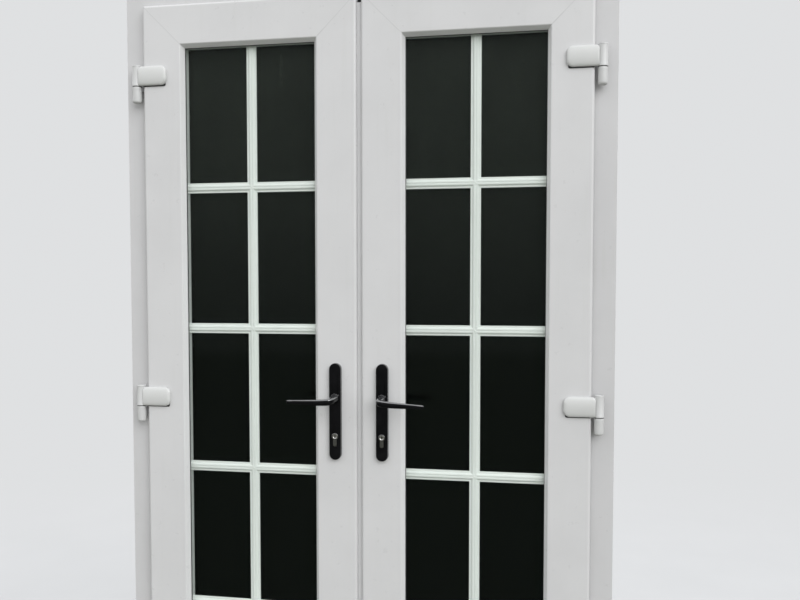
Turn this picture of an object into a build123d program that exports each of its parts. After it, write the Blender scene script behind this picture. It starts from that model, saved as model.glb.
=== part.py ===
from build123d import *
import math
import os

# French doors: two glazed leaves that open outwards in one outer frame.
# Millimetres. X is to the right seen from outside, the outside is towards -Y, Z is up.
# The origin is the middle of the sill's underside, at half the frame's depth.
# Sections are drawn in u, from a ring's outer edge towards its opening, and v, from its
# outside face inwards. The right leaf is drawn, and the left leaf is its mirror image.

# Overall sizes
FRAME_W = 1200.0
FRAME_H = 2050.0
FRAME_DEPTH = 70.0
FRAME_FACE = 53.0  # frame left visible outside, round the leaves
LEAF_GAP = 11.6  # between the faces of the two leaves
LEAF_PROUD = 24.0  # leaf face in front of the frame's outside face
SASH_DEPTH = 70.0

# Frame section
OVERLAP = 7.0  # leaf flange over the frame
HARDWARE_GAP = 12.0  # frame to sash body, where the gear runs
UPSTAND_T = 20.0
UPSTAND_LAP = 8.0
FRAME_WALL = 4.0
GROOVE_W = 16.0
FRAME_GROOVE_D = 3.0
FRAME_ROUND = 2.5

# Sash section
FLANGE_T = 20.0
FLANGE_ROUND = 6.0
SASH_WALL = 3.0
SASH_GROOVE_D = 3.5
SIGHT = 105.0  # leaf edge to the end of the glazing lip
LIP = 19.0  # glazing lip over the rebate floor
LIP_T = 15.0
BEVEL_W = 8.0
BEVEL_D = 12.0
BEVEL_ROUND = 3.5
FRONT_CHAMBER_D = 12.0
STEEL_T = 1.5
STEEL_GAP = 0.25
MITRE_MORE = 10.0  # mitre cut past the widest profile

# Glazing
PACKER_T = 6.0
PACKER_L = 90.0
GLASS_T = 4.0
CAVITY = 20.0
GASKET_T = 3.0
GASKET_W = 8.0
GASKET_SHOW = 1.0  # gasket past the glazing lip, towards the glass
SPACER_W = 8.0
SPACER_IN = 2.0  # spacer from the glass edge
BEAD_FACE = 4.0
BEAD_TOE = 4.0
BEAD_CLIP_W = 3.6
BEAD_CLIP_D = 3.4
BEAD_CLIP_SLACK = 0.2
BEAD_SET_BACK = 1.5  # bead behind the sash's inside face
BEAD_CLIP_BACK = 8.0  # bead's clip behind its front

# Glazing bars
ROWS = 5
BAR_W = 24.6
BAR_T = 12.0
BAR_EDGE = 4.0
BAR_EDGE_T = 5.0
BAR_STEP_T = 8.0
BAR_RIDGE = 8.0
BAR_EDGE_SINK = 0.6

# Meeting profiles, behind the flanges of the two lock stiles
MEETING_SLACK = 0.4
MULLION_PAST = 0.5  # left profile past the middle of the doors
ADAPTOR_BACK = 4.2  # right profile behind its leaf edge, clear of the tongue as it swings
MEETING_WALL = 3.0
TONGUE_SINK = 11.0  # tongue behind the leaf faces
TONGUE_T = 4.0
TONGUE_GAP = 0.6

# Seals of the frame
SEAL_W = 4.0
SEAL_GAP = 0.3
OUTER_SEAL_IN = 1.5  # from the edge of the frame's rebate wall
INNER_SEAL_IN = 2.0  # from the edge of the upstand

# Hinges
HINGE_OUT = 17.5  # axis past the leaf edge
HINGE_SINK = 3.0  # axis behind the leaf face
HINGE_TOP = 196.0  # leaf top to the seam of the top hinge
HINGE_MIDDLE = 20.0  # middle of the leaf to the seam of the middle hinge
HINGE_BOTTOM = 180.0  # leaf bottom to the seam of the bottom hinge
BARREL_R = 11.0
UPPER_BARREL = 51.0
LOWER_BARREL = 40.0
BARREL_ROUND = 3.5
WASHER_T = 1.5
PIN_R = 5.0
PIN_RUN = 0.06
PIN_SEAT = 0.01
PIN_END = 3.0
PIN_TIP_GAP = 1.0
FLAG_T = 4.0
FLAG_H = 40.0
FLAG_REACH = 56.0
COVER_L = 68.0
COVER_H = 50.0
COVER_T = 11.0
COVER_WALL = 2.0
COVER_CORNER = 11.0
COVER_ROUND = 4.0
COVER_SOFT = 3.5  # bevel round the cover's front
COVER_GAP = 0.5
FOOT_W = 18.0
FOOT_H = 30.0
LUG_W = 8.0
LUG_H = 20.0
LUG_L = 10.0
LUG_SLACK = 0.1

# Handles and cylinders
HANDLE_UP = 982.0  # leaf bottom to the spindle
HANDLE_IN = 51.8  # leaf edge to the spindle
CYLINDER_DOWN = 92.0  # spindle to cylinder
PLATE_W = 29.5
PLATE_H = 235.0
PLATE_T = 10.0
PLATE_DROP = 32.0  # spindle to the middle of the plate
PLATE_SOFT = 2.5  # bevel round the plate's front
NECK_R = 9.0
NECK_RUN = 0.06
NECK_LIFT = 0.5
SPINDLE_W = 8.0
SPINDLE_SLACK = 0.05
SPINDLE_IN_LEVER = 24.0
SPINDLE_TIP_GAP = 1.0
LEVER_L = 110.0
LEVER_OUT = 62.0  # leaf face to the front of the grip
LEVER_SINK = 4.0  # tip lower than the spindle
HEEL_R = 10.5  # round heel of the grip, on the neck
HEEL_L = 27.0
GRIP_R = 5.6
TIP_R = 3.4
GRIP_T = 12.0
GRIP_SOFT = 2.5
SCREW_REACH = 105.0  # middle of the plate to a through screw
SCREW_R = 2.5
SCREW_HEAD_R = 4.5
SCREW_HEAD_T = 2.6
CYLINDER_R = 8.5
CYLINDER_H = 33.0
CYLINDER_LEG = 10.0
CYLINDER_PROUD = 2.0
CYLINDER_SLACK = 0.3
KEYWAY = (1.6, 8.0, 12.0)  # width, height and depth

# Locking gear
STRIP_T = 2.5
CASE_T = 15.0
CASE_UP = 48.0
CASE_DOWN = 34.0  # below the cylinder's axis
CASE_PAST = 15.0  # case past the spindle
CASE_SLACK = 0.5
SPINDLE_BORE_R = 6.2
SHORT_STRIP_MORE = 40.0  # left leaf's strip past its gearbox
BOLT_CASE_L = 34.0
BOLT_CASE_H = 70.0
BOLT_T = 10.0
BOLT_H = 26.0
BOLT_L = 30.0
BOLT_THROW = 24.0
BOLT_DROP = 46.0  # spindle to the middle bolt
BOLT_IN = 235.0  # strip's end to a far bolt
LATCH_UP = 30.0
LATCH_H = 14.0
LATCH_L = 26.0
LATCH_THROW = 16.0
SLIDE_SLACK = 0.15
STRIP_END = 120.0  # gear strip from the ends of its stile
KEEP_T = 2.5
KEEP_MORE = 22.0
KEEP_SLACK = 1.0
STEEL_SLOT_MORE = 8.0  # slot in the steel past the handle's screws
ROD_W = 12.0
ROD_T = 3.0
ROD_SINK = 2.0
ROD_GAP = 60.0  # flat bolt to the left leaf's strip
ROD_THROW = 22.0
ROD_KEEP_L = 60.0
ROD_KEEP_SLACK = 1.2

# Fixing holes through the jambs
FIX_R = 3.5
FIX_COUNT = 4
FIX_END = 250.0

# Places that follow from the sizes
FACE_Y = -FRAME_DEPTH / 2
LEAF_Y = FACE_Y - LEAF_PROUD
LEAF_BACK = LEAF_Y + SASH_DEPTH
UPSTAND_Y = -FACE_Y - UPSTAND_T
REBATE_EDGE = FRAME_FACE + OVERLAP
UPSTAND_EDGE = REBATE_EDGE + HARDWARE_GAP + UPSTAND_LAP
OVERHANG = OVERLAP + HARDWARE_GAP
REBATE_FLOOR = SIGHT - LIP
GLASS_EDGE = REBATE_FLOOR + PACKER_T
GLASS_V = LIP_T + GASKET_T
UNIT_BACK = GLASS_V + 2 * GLASS_T + CAVITY
BEAD_V = UNIT_BACK + GASKET_T
GEAR_V = (FLANGE_T + SASH_DEPTH) / 2
GEAR_Y = LEAF_Y + GEAR_V
BEAD_CLIP_V = BEAD_V + BEAD_CLIP_BACK
MITRE_REACH = SIGHT + MITRE_MORE
LEAF_RECT = (LEAF_GAP / 2, FRAME_W / 2 - FRAME_FACE, FRAME_FACE, FRAME_H - FRAME_FACE)
FRAME_RECT = (-FRAME_W / 2, FRAME_W / 2, 0.0, FRAME_H)
LEAF_X0, LEAF_X1, LEAF_Z0, LEAF_Z1 = LEAF_RECT
BODY_X0 = LEAF_X0 + OVERHANG
ADAPTOR_X = LEAF_X0 + ADAPTOR_BACK
HINGE_X = LEAF_X1 + HINGE_OUT
HINGE_Y = LEAF_Y + HINGE_SINK
HINGE_SEAMS = (
    LEAF_Z1 - HINGE_TOP,
    (LEAF_Z0 + LEAF_Z1) / 2 - HINGE_MIDDLE,
    LEAF_Z0 + HINGE_BOTTOM,
)
HANDLE_X = LEAF_X0 + HANDLE_IN
HANDLE_Z = LEAF_Z0 + HANDLE_UP
CYLINDER_Z = HANDLE_Z - CYLINDER_DOWN
PLATE_Z = HANDLE_Z - PLATE_DROP
MID_Y = LEAF_Y + SASH_DEPTH / 2
SCREW_ZS = (PLATE_Z - SCREW_REACH, PLATE_Z + SCREW_REACH)
STRIP_ENDS = (LEAF_Z0 + STRIP_END, LEAF_Z1 - STRIP_END)
CASE_ENDS = (CYLINDER_Z - CASE_DOWN, HANDLE_Z + CASE_UP)
SHORT_STRIP_ENDS = (CASE_ENDS[0] - SHORT_STRIP_MORE, CASE_ENDS[1] + SHORT_STRIP_MORE)
BOLT_ZS = (STRIP_ENDS[0] + BOLT_IN, HANDLE_Z - BOLT_DROP, STRIP_ENDS[1] - BOLT_IN)
LATCH_Z = HANDLE_Z + LATCH_UP


def box(x0, x1, y0, y1, z0, z1):
    """A block between two values on each axis."""
    centre = ((x0 + x1) / 2, (y0 + y1) / 2, (z0 + z1) / 2)
    return Pos(*centre) * Box(abs(x1 - x0), abs(y1 - y0), abs(z1 - z0))


def rod(radius, centre, axis, length):
    """A round bar that starts at centre and runs along axis."""
    return extrude(Plane(centre, z_dir=axis) * Circle(radius), amount=length)


def outline(points, chambers=()):
    """A flat section through the points, less its rectangular chambers."""
    face = make_face(Polyline(*points, close=True))
    for u0, u1, v0, v1 in chambers:
        face -= Pos((u0 + u1) / 2, (v0 + v1) / 2) * Rectangle(u1 - u0, v1 - v0)
    return face


def softened(face, corner, radius):
    """The section with the corner nearest to a point rounded."""
    return fillet(face.vertices().sort_by_distance((*corner, 0))[0], radius)


def run(section, start, u_dir, along, length):
    """A straight length of a section, with its u along u_dir and its v along +Y."""
    return extrude(Plane(start, x_dir=u_dir, z_dir=along) * section, amount=length)


def slab(points, y0, y1):
    """An X and Z outline as a plate between two depths."""
    face = make_face(Polyline(*points, close=True))
    return extrude(Plane((0, y1, 0), x_dir=(1, 0, 0), z_dir=(0, -1, 0)) * face, amount=y1 - y0)


def mitred_ring(section, rect, face_y, reach=MITRE_REACH):
    """Four lengths of one section round a rectangle, each cut at 45 degrees at both ends."""
    x0, x1, z0, z1 = rect
    width, height = x1 - x0, z1 - z0
    lengths = {
        "left": run(section, (x0, face_y, z0), (1, 0, 0), (0, 0, 1), height),
        "right": run(section, (x1, face_y, z1), (-1, 0, 0), (0, 0, -1), height),
        "bottom": run(section, (x1, face_y, z0), (0, 0, 1), (-1, 0, 0), width),
        "top": run(section, (x0, face_y, z1), (0, 0, -1), (1, 0, 0), width),
    }
    inner = (x0 + reach, x1 - reach, z0 + reach, z1 - reach)
    corners = {
        "left": [(x0, z0), (inner[0], inner[2]), (inner[0], inner[3]), (x0, z1)],
        "right": [(x1, z0), (x1, z1), (inner[1], inner[3]), (inner[1], inner[2])],
        "bottom": [(x0, z0), (x1, z0), (inner[1], inner[2]), (inner[0], inner[2])],
        "top": [(x0, z1), (inner[0], inner[3]), (inner[1], inner[3]), (x1, z1)],
    }
    deep = FRAME_DEPTH + SASH_DEPTH
    return {side: lengths[side] & slab(corners[side], face_y - deep, face_y + deep) for side in lengths}


def closed_ring(section, rect, face_y):
    """The four mitred lengths joined as one piece, as a seal or a bent spacer is."""
    left, right, bottom, top = mitred_ring(section, rect, face_y).values()
    return left + right + bottom + top


def on_side(shape, side):
    """The right-hand shape, or its mirror image for the left leaf."""
    return shape if side == "right" else mirror(shape, about=Plane.YZ)


def inside_copy(shape):
    """The mirror image of an outside handle piece on the leaf's inside face."""
    return mirror(shape, about=Plane.XZ.offset(-MID_Y))


def frame_section():
    """The outer frame: a hollow box with an upstand that the leaves close against."""
    groove = (GEAR_Y - GROOVE_W / 2 - FACE_Y, GEAR_Y + GROOVE_W / 2 - FACE_Y)
    web = FRAME_DEPTH - UPSTAND_T
    points = [
        (0, 0),
        (REBATE_EDGE, 0),
        (REBATE_EDGE, groove[0]),
        (REBATE_EDGE - FRAME_GROOVE_D, groove[0]),
        (REBATE_EDGE - FRAME_GROOVE_D, groove[1]),
        (REBATE_EDGE, groove[1]),
        (REBATE_EDGE, web),
        (UPSTAND_EDGE, web),
        (UPSTAND_EDGE, FRAME_DEPTH),
        (0, FRAME_DEPTH),
    ]
    inner = REBATE_EDGE - FRAME_GROOVE_D - FRAME_WALL
    chambers = [
        (FRAME_WALL, inner, FRAME_WALL, web - FRAME_WALL),
        (FRAME_WALL, UPSTAND_EDGE - FRAME_WALL, web, FRAME_DEPTH - FRAME_WALL),
    ]
    face = outline(points, chambers)
    for corner in ((REBATE_EDGE, 0), (UPSTAND_EDGE, web), (UPSTAND_EDGE, FRAME_DEPTH)):
        face = softened(face, corner, FRAME_ROUND)
    return face


def sash_section():
    """The leaf profile: outside flange, gear groove, glazing lip and rebate, three chambers."""
    g0, g1 = GEAR_V - GROOVE_W / 2, GEAR_V + GROOVE_W / 2
    clip0 = BEAD_CLIP_V - BEAD_CLIP_SLACK
    clip1 = BEAD_CLIP_V + BEAD_CLIP_W + BEAD_CLIP_SLACK
    clip_floor = REBATE_FLOOR - BEAD_CLIP_D - BEAD_CLIP_SLACK
    points = [
        (0, 0),
        (SIGHT - BEVEL_W, 0),
        (SIGHT, BEVEL_D),
        (SIGHT, LIP_T),
        (REBATE_FLOOR, LIP_T),
        (REBATE_FLOOR, clip0),
        (clip_floor, clip0),
        (clip_floor, clip1),
        (REBATE_FLOOR, clip1),
        (REBATE_FLOOR, SASH_DEPTH),
        (OVERHANG, SASH_DEPTH),
        (OVERHANG, g1),
        (OVERHANG + SASH_GROOVE_D, g1),
        (OVERHANG + SASH_GROOVE_D, g0),
        (OVERHANG, g0),
        (OVERHANG, FLANGE_T),
        (0, FLANGE_T),
    ]
    face = outline(points, (front_chamber(), steel_chamber()))
    face = softened(face, (0, 0), FLANGE_ROUND)
    face = softened(face, (SIGHT - BEVEL_W, 0), BEVEL_ROUND)
    return softened(face, (OVERHANG, SASH_DEPTH), FRAME_ROUND)


def front_chamber():
    """The narrow chamber behind the leaf's outside face."""
    return (OVERHANG, REBATE_FLOOR, SASH_WALL, SASH_WALL + FRONT_CHAMBER_D - SASH_WALL)


def steel_chamber():
    """The chamber that holds the steel."""
    u0 = OVERHANG + SASH_GROOVE_D + SASH_WALL
    u1 = REBATE_FLOOR - BEAD_CLIP_D - BEAD_CLIP_SLACK - SASH_WALL
    return (u0, u1, SASH_WALL + FRONT_CHAMBER_D, SASH_DEPTH - SASH_WALL)


def steel_section():
    """The square-edged steel tube inside a sash profile."""
    u0, u1, v0, v1 = steel_chamber()
    u0, u1, v0, v1 = u0 + STEEL_GAP, u1 - STEEL_GAP, v0 + STEEL_GAP, v1 - STEEL_GAP
    corners = [(u0, v0), (u1, v0), (u1, v1), (u0, v1)]
    return outline(corners, [(u0 + STEEL_T, u1 - STEEL_T, v0 + STEEL_T, v1 - STEEL_T)])


def bead_section():
    """The inside glazing bead, with the clip that snaps into the rebate floor."""
    back = SASH_DEPTH - BEAD_SET_BACK
    points = [
        (REBATE_FLOOR, BEAD_V),
        (SIGHT, BEAD_V),
        (SIGHT, BEAD_V + BEAD_FACE),
        (REBATE_FLOOR + BEAD_TOE, back),
        (REBATE_FLOOR, back),
        (REBATE_FLOOR, BEAD_CLIP_V + BEAD_CLIP_W),
        (REBATE_FLOOR - BEAD_CLIP_D, BEAD_CLIP_V + BEAD_CLIP_W),
        (REBATE_FLOOR - BEAD_CLIP_D, BEAD_CLIP_V),
        (REBATE_FLOOR, BEAD_CLIP_V),
    ]
    return softened(outline(points), (SIGHT, BEAD_V + BEAD_FACE), BEAD_FACE / 2)


def strip_section(u0, u1, v0, v1):
    """A plain rectangular section, for seals and spacers."""
    return outline([(u0, v0), (u1, v0), (u1, v1), (u0, v1)])


def bar_section():
    """The glazing bar: thin edges, a step and a shallow ridge, alike on both faces."""
    half, edge, step, ridge = BAR_W / 2, BAR_EDGE_T / 2, BAR_STEP_T / 2, BAR_T / 2
    right = [
        (half, edge - BAR_EDGE_SINK),
        (half - BAR_EDGE, edge),
        (half - BAR_EDGE, step),
        (BAR_RIDGE / 2, ridge - BAR_EDGE_SINK),
        (0, ridge),
    ]
    quarter = right[:-1]
    top = right + [(-u, v) for u, v in reversed(quarter)]
    return outline(top + [(-u, -v) for u, v in top])


def euro_profile(radius, leg_w, height):
    """The cylinder's outline: a round top and a leg that hangs from it."""
    drop = height - radius - leg_w / 2
    leg = Pos(0, -drop / 2) * Rectangle(leg_w, drop)
    return Circle(radius) + leg + Pos(0, -drop) * Circle(leg_w / 2)


def handle_plane(z, depth=0.0):
    """The face of the leaf at the handle's upright line, looking out, depth in front of it."""
    return Plane((HANDLE_X, LEAF_Y - depth, z), x_dir=(1, 0, 0), z_dir=(0, -1, 0))


def through(sketch, z, front, back):
    """A handle sketch pushed through the leaf between two depths behind its face."""
    return extrude(handle_plane(z, -back) * sketch, amount=back - front)


def handle_voids(more):
    """What the stile, the steel and the case leave free for the spindle, screws and cylinder."""
    profile = euro_profile(CYLINDER_R + more, CYLINDER_LEG + 2 * more, CYLINDER_H + 2 * more)
    void = through(profile, CYLINDER_Z, -SASH_DEPTH, 2 * SASH_DEPTH)
    void += through(Circle(SPINDLE_BORE_R + more), HANDLE_Z, -SASH_DEPTH, 2 * SASH_DEPTH)
    for z in SCREW_ZS:
        void += through(Circle(SCREW_R + more), z, -SASH_DEPTH, 2 * SASH_DEPTH)
    return void


def case_block(edge_x, slack=0.0):
    """The gearbox behind its strip, from the strip's outer face at edge_x."""
    half = CASE_T / 2 + slack
    ends = (CASE_ENDS[0] - slack, CASE_ENDS[1] + slack)
    return box(edge_x, HANDLE_X + CASE_PAST + slack, GEAR_Y - half, GEAR_Y + half, *ends)


def bolt_case_blocks(edge_x, slack=0.0):
    """The two far bolt cases of the right leaf's gear."""
    half = CASE_T / 2 + slack
    blocks = []
    for z in (BOLT_ZS[0], BOLT_ZS[2]):
        ends = (z - BOLT_CASE_H / 2 - slack, z + BOLT_CASE_H / 2 + slack)
        blocks.append(box(edge_x, edge_x + BOLT_CASE_L + slack, GEAR_Y - half, GEAR_Y + half, *ends))
    return blocks


def gear_voids(side):
    """The pockets for the gear in a lock stile and in the profile beside it."""
    if side == "left":
        return case_block(BODY_X0, CASE_SLACK)
    void = case_block(ADAPTOR_X, CASE_SLACK)
    for block in bolt_case_blocks(ADAPTOR_X, CASE_SLACK):
        void += block
    return void


def gear_slot(v0, v1):
    """The slot along the handle in a wall that nothing has to seat on, between two depths."""
    half = CYLINDER_R + STEEL_SLOT_MORE / 2
    ends = (SCREW_ZS[0] - STEEL_SLOT_MORE, SCREW_ZS[1] + STEEL_SLOT_MORE)
    return box(HANDLE_X - half, HANDLE_X + half, LEAF_Y + v0, LEAF_Y + v1, *ends)


def lock_strip(side):
    """The face strip with its gearbox and, on the right leaf, two bolt cases."""
    edge = BODY_X0 if side == "left" else ADAPTOR_X
    half = GROOVE_W / 2 - CASE_SLACK / 2
    ends = STRIP_ENDS if side == "right" else SHORT_STRIP_ENDS
    gear = box(edge, edge + STRIP_T, GEAR_Y - half, GEAR_Y + half, *ends)
    gear += case_block(edge)
    if side == "right":
        for block in bolt_case_blocks(edge):
            gear += block
        gear -= latch_block(0.0, SLIDE_SLACK)
        for bolt in bolt_blocks(0.0, SLIDE_SLACK):
            gear -= bolt
    return gear - handle_voids(CYLINDER_SLACK)


def latch_block(nose, slack=0.0):
    """The latch as a plain block, nose in front of the strip, with slack for its guide."""
    half = BOLT_T / 2 + slack
    x0 = ADAPTOR_X - nose
    z0, z1 = LATCH_Z - LATCH_H / 2 - slack, LATCH_Z + LATCH_H / 2 + slack
    return box(x0, ADAPTOR_X + LATCH_L + slack, GEAR_Y - half, GEAR_Y + half, z0, z1)


def bolt_blocks(nose, slack=0.0):
    """The three bolts as plain blocks."""
    half, tall = BOLT_T / 2 + slack, BOLT_H / 2 + slack
    x0, x1 = ADAPTOR_X - nose, ADAPTOR_X + BOLT_L + slack
    return [box(x0, x1, GEAR_Y - half, GEAR_Y + half, z - tall, z + tall) for z in BOLT_ZS]


def latch():
    """The latch with the slope on the side that meets its keep when the leaf closes."""
    wedge = [(0, 0), (BOLT_T, 0), (0, BOLT_T)]
    cut = extrude(Plane((ADAPTOR_X, GEAR_Y - BOLT_T / 2, LATCH_Z - LATCH_H)) * outline(wedge), 2 * LATCH_H)
    cut = mirror(cut, about=Plane.XZ.offset(-GEAR_Y))
    return latch_block(0.0) - cut


def bolts():
    """Three bolts with rounded noses, which the gear pushes out together."""
    rounded = []
    for block in bolt_blocks(0.0):
        nose = block.edges().filter_by(Axis.Y).group_by(Axis.X)[0]
        rounded.append(fillet(nose, BOLT_T / 2))
    return Compound(children=rounded)


def adaptor():
    """The profile that fills the pocket behind the right leaf's flange and carries its gear."""
    u0, u1 = ADAPTOR_X, BODY_X0
    v0, v1 = FLANGE_T + MEETING_SLACK, SASH_DEPTH
    g0, g1 = GEAR_V - GROOVE_W / 2, GEAR_V + GROOVE_W / 2
    points = [
        (u0, v0),
        (u1, v0),
        (u1, v1),
        (u0, v1),
        (u0, g1),
        (u0 + STRIP_T, g1),
        (u0 + STRIP_T, g0),
        (u0, g0),
    ]
    wall = MEETING_WALL
    chamber = (u0 + STRIP_T + wall, u1 - wall, v0 + wall, v1 - wall)
    z0, z1 = LEAF_Z0 + OVERHANG, LEAF_Z1 - OVERHANG
    bar = run(outline(points, [chamber]), (0, LEAF_Y, z0), (1, 0, 0), (0, 0, 1), z1 - z0)
    return bar - gear_voids("right")


def mullion():
    """The left leaf's meeting profile, with the tongue that closes the gap between the faces.

    It is drawn in true X, and isn't mirrored.
    """
    edge, back = -BODY_X0, SASH_DEPTH
    nose, reach = -LEAF_GAP / 2 + TONGUE_GAP / 2, LEAF_GAP / 2 - TONGUE_GAP
    v0, v1 = FLANGE_T + MEETING_SLACK, TONGUE_SINK
    g0, g1 = GEAR_V - GROOVE_W / 2, GEAR_V + GROOVE_W / 2
    past = MULLION_PAST
    points = [
        (edge, v0),
        (nose, v0),
        (nose, v1),
        (reach, v1),
        (reach, v1 + TONGUE_T),
        (past, v1 + TONGUE_T),
        (past, g0),
        (past - KEEP_T, g0),
        (past - KEEP_T, g1),
        (past, g1),
        (past, back),
        (edge, back),
    ]
    wall = MEETING_WALL
    chamber = (edge + wall, past - KEEP_T - wall, v0 + wall, back - wall)
    z0, z1 = LEAF_Z0 + OVERHANG, LEAF_Z1 - OVERHANG
    bar = run(outline(points, [chamber]), (0, LEAF_Y, z0), (1, 0, 0), (0, 0, 1), z1 - z0)
    for window in keep_windows():
        bar -= window
    return bar


def keep_windows():
    """What the bolts and the latch need free in the keeps and in the mullion's wall."""
    slack = KEEP_SLACK
    half = BOLT_T / 2 + slack
    x0, x1 = MULLION_PAST - KEEP_T - 2 * MEETING_WALL, MULLION_PAST
    tall = [(z, BOLT_H / 2 + slack) for z in BOLT_ZS] + [(LATCH_Z, LATCH_H / 2 + slack)]
    return [box(x0, x1, GEAR_Y - half, GEAR_Y + half, z - h, z + h) for z, h in tall]


def mullion_keeps():
    """Three steel keeps let into the mullion: the middle one serves the latch too."""
    half = GROOVE_W / 2 - CASE_SLACK / 2
    keeps = []
    spans = [(z, z) for z in (BOLT_ZS[0], BOLT_ZS[2])] + [(BOLT_ZS[1], LATCH_Z)]
    for low, high in spans:
        ends = (low - BOLT_H / 2 - KEEP_MORE, high + BOLT_H / 2 + KEEP_MORE)
        plate = box(MULLION_PAST - KEEP_T, MULLION_PAST, GEAR_Y - half, GEAR_Y + half, *ends)
        for window in keep_windows():
            plate -= window
        keeps.append(plate)
    return Compound(children=keeps)


def shoot_rod(upwards):
    """A flat bolt that slides in the left stile's groove, towards the head or the sill."""
    x0 = -BODY_X0 - ROD_T
    end = LEAF_Z1 - OVERHANG - ROD_SINK if upwards else LEAF_Z0 + OVERHANG + ROD_SINK
    other = SHORT_STRIP_ENDS[1] + ROD_GAP if upwards else SHORT_STRIP_ENDS[0] - ROD_GAP
    bar = box(x0, -BODY_X0, GEAR_Y - ROD_W / 2, GEAR_Y + ROD_W / 2, end, other)
    tip = bar.edges().filter_by(Axis.X).group_by(Axis.Z)[-1 if upwards else 0]
    return chamfer(tip, ROD_W / 4)


def rod_windows():
    """The slots in the head and the sill that the flat bolts enter."""
    s = ROD_KEEP_SLACK
    x0, x1 = -BODY_X0 - ROD_T - s, -BODY_X0 + s
    y0, y1 = GEAR_Y - ROD_W / 2 - s, GEAR_Y + ROD_W / 2 + s
    depth = 2 * FRAME_WALL + FRAME_GROOVE_D
    low = box(x0, x1, y0, y1, REBATE_EDGE - depth, REBATE_EDGE)
    high = box(x0, x1, y0, y1, FRAME_H - REBATE_EDGE, FRAME_H - REBATE_EDGE + depth)
    return [low, high]


def rod_keeps():
    """The steel keeps in the grooves of the sill and the head."""
    half = GROOVE_W / 2 - CASE_SLACK / 2
    x0, x1 = -BODY_X0 - ROD_KEEP_L / 2, -BODY_X0 + ROD_KEEP_L / 2
    floor = REBATE_EDGE - FRAME_GROOVE_D
    keeps = []
    for z, window in zip((floor, FRAME_H - floor - KEEP_T), rod_windows()):
        keeps.append(box(x0, x1, GEAR_Y - half, GEAR_Y + half, z, z + KEEP_T) - window)
    return Compound(children=keeps)


def fixing_heights():
    """The heights of the holes for the wall fixings."""
    step = (FRAME_H - 2 * FIX_END) / (FIX_COUNT - 1)
    return [FIX_END + step * n for n in range(FIX_COUNT)]


def bracket_lug(seam, slack=0.0):
    """The lug behind a hinge bracket, or with slack the slot for it in the jamb."""
    middle = seam - WASHER_T - LOWER_BARREL / 2
    half, tall = LUG_W / 2 + slack, LUG_H / 2 + slack
    return box(HINGE_X - half, HINGE_X + half, FACE_Y, FACE_Y + LUG_L + slack, middle - tall, middle + tall)


def frame_parts():
    """The four mitred lengths of the outer frame, drilled for fixings and hinges."""
    sides = mitred_ring(frame_section(), FRAME_RECT, FACE_Y)
    for window in rod_windows():
        sides["bottom"] -= window
        sides["top"] -= window
    for name, sign in (("left", -1), ("right", 1)):
        for z in fixing_heights():
            sides[name] -= rod(FIX_R, (0, GEAR_Y, z), (sign, 0, 0), FRAME_W)
        for seam in HINGE_SEAMS:
            sides[name] -= on_side(bracket_lug(seam, LUG_SLACK), name)
    return {
        "frame_left_jamb": sides["left"],
        "frame_right_jamb": sides["right"],
        "frame_sill": sides["bottom"],
        "frame_head": sides["top"],
    }


def frame_seals():
    """The outer seal behind the flanges and the inner seal on the upstand."""
    reach = LEAF_PROUD - FLANGE_T - SEAL_GAP
    u1 = REBATE_EDGE - OUTER_SEAL_IN
    outer = closed_ring(strip_section(u1 - SEAL_W, u1, -reach, 0), FRAME_RECT, FACE_Y)
    u1 = UPSTAND_EDGE - INNER_SEAL_IN
    depth = UPSTAND_Y - LEAF_BACK - SEAL_GAP
    inner = closed_ring(strip_section(u1 - SEAL_W, u1, -depth, 0), FRAME_RECT, UPSTAND_Y)
    return Compound(children=[outer, inner])


def hinge_bracket(seam):
    """The frame half of a hinge: a bored lower barrel on a foot with a lug."""
    top = seam - WASHER_T
    barrel = rod(BARREL_R, (HINGE_X, HINGE_Y, top - LOWER_BARREL), (0, 0, 1), LOWER_BARREL)
    barrel = chamfer(barrel.edges().sort_by(Axis.Z)[0], BARREL_ROUND)
    middle = top - LOWER_BARREL / 2
    half = FOOT_W / 2
    ends = (middle - FOOT_H / 2, middle + FOOT_H / 2)
    bracket = barrel + box(HINGE_X - half, HINGE_X + half, HINGE_Y, FACE_Y, *ends)
    bracket += bracket_lug(seam)
    bore_from = (HINGE_X, HINGE_Y, top - LOWER_BARREL + PIN_END)
    return bracket - rod(PIN_R + PIN_SEAT, bore_from, (0, 0, 1), LOWER_BARREL)


def hinge_pin(seam):
    """The pin that stands in the bracket and carries the flag."""
    bottom = seam - WASHER_T - LOWER_BARREL + PIN_END
    length = LOWER_BARREL + WASHER_T + UPPER_BARREL - 2 * PIN_END - PIN_TIP_GAP
    return rod(PIN_R, (HINGE_X, HINGE_Y, bottom), (0, 0, 1), length)


def hinge_washer(seam):
    """The bearing washer between the two barrels."""
    start = (HINGE_X, HINGE_Y, seam - WASHER_T)
    return rod(BARREL_R, start, (0, 0, 1), WASHER_T) - rod(PIN_R + PIN_RUN, start, (0, 0, 1), WASHER_T)


def hinge_flag(seam):
    """The leaf half of a hinge: a bored upper barrel with a flat plate on the leaf's face."""
    start = (HINGE_X, HINGE_Y, seam)
    barrel = rod(BARREL_R, start, (0, 0, 1), UPPER_BARREL)
    z0 = seam + (UPPER_BARREL - FLAG_H) / 2
    plate_y = LEAF_Y - FLAG_T
    plate = box(LEAF_X1 - FLAG_REACH, HINGE_X, plate_y, LEAF_Y, z0, z0 + FLAG_H)
    return barrel + plate - rod(PIN_R + PIN_RUN, start, (0, 0, 1), UPPER_BARREL - PIN_END)


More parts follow.
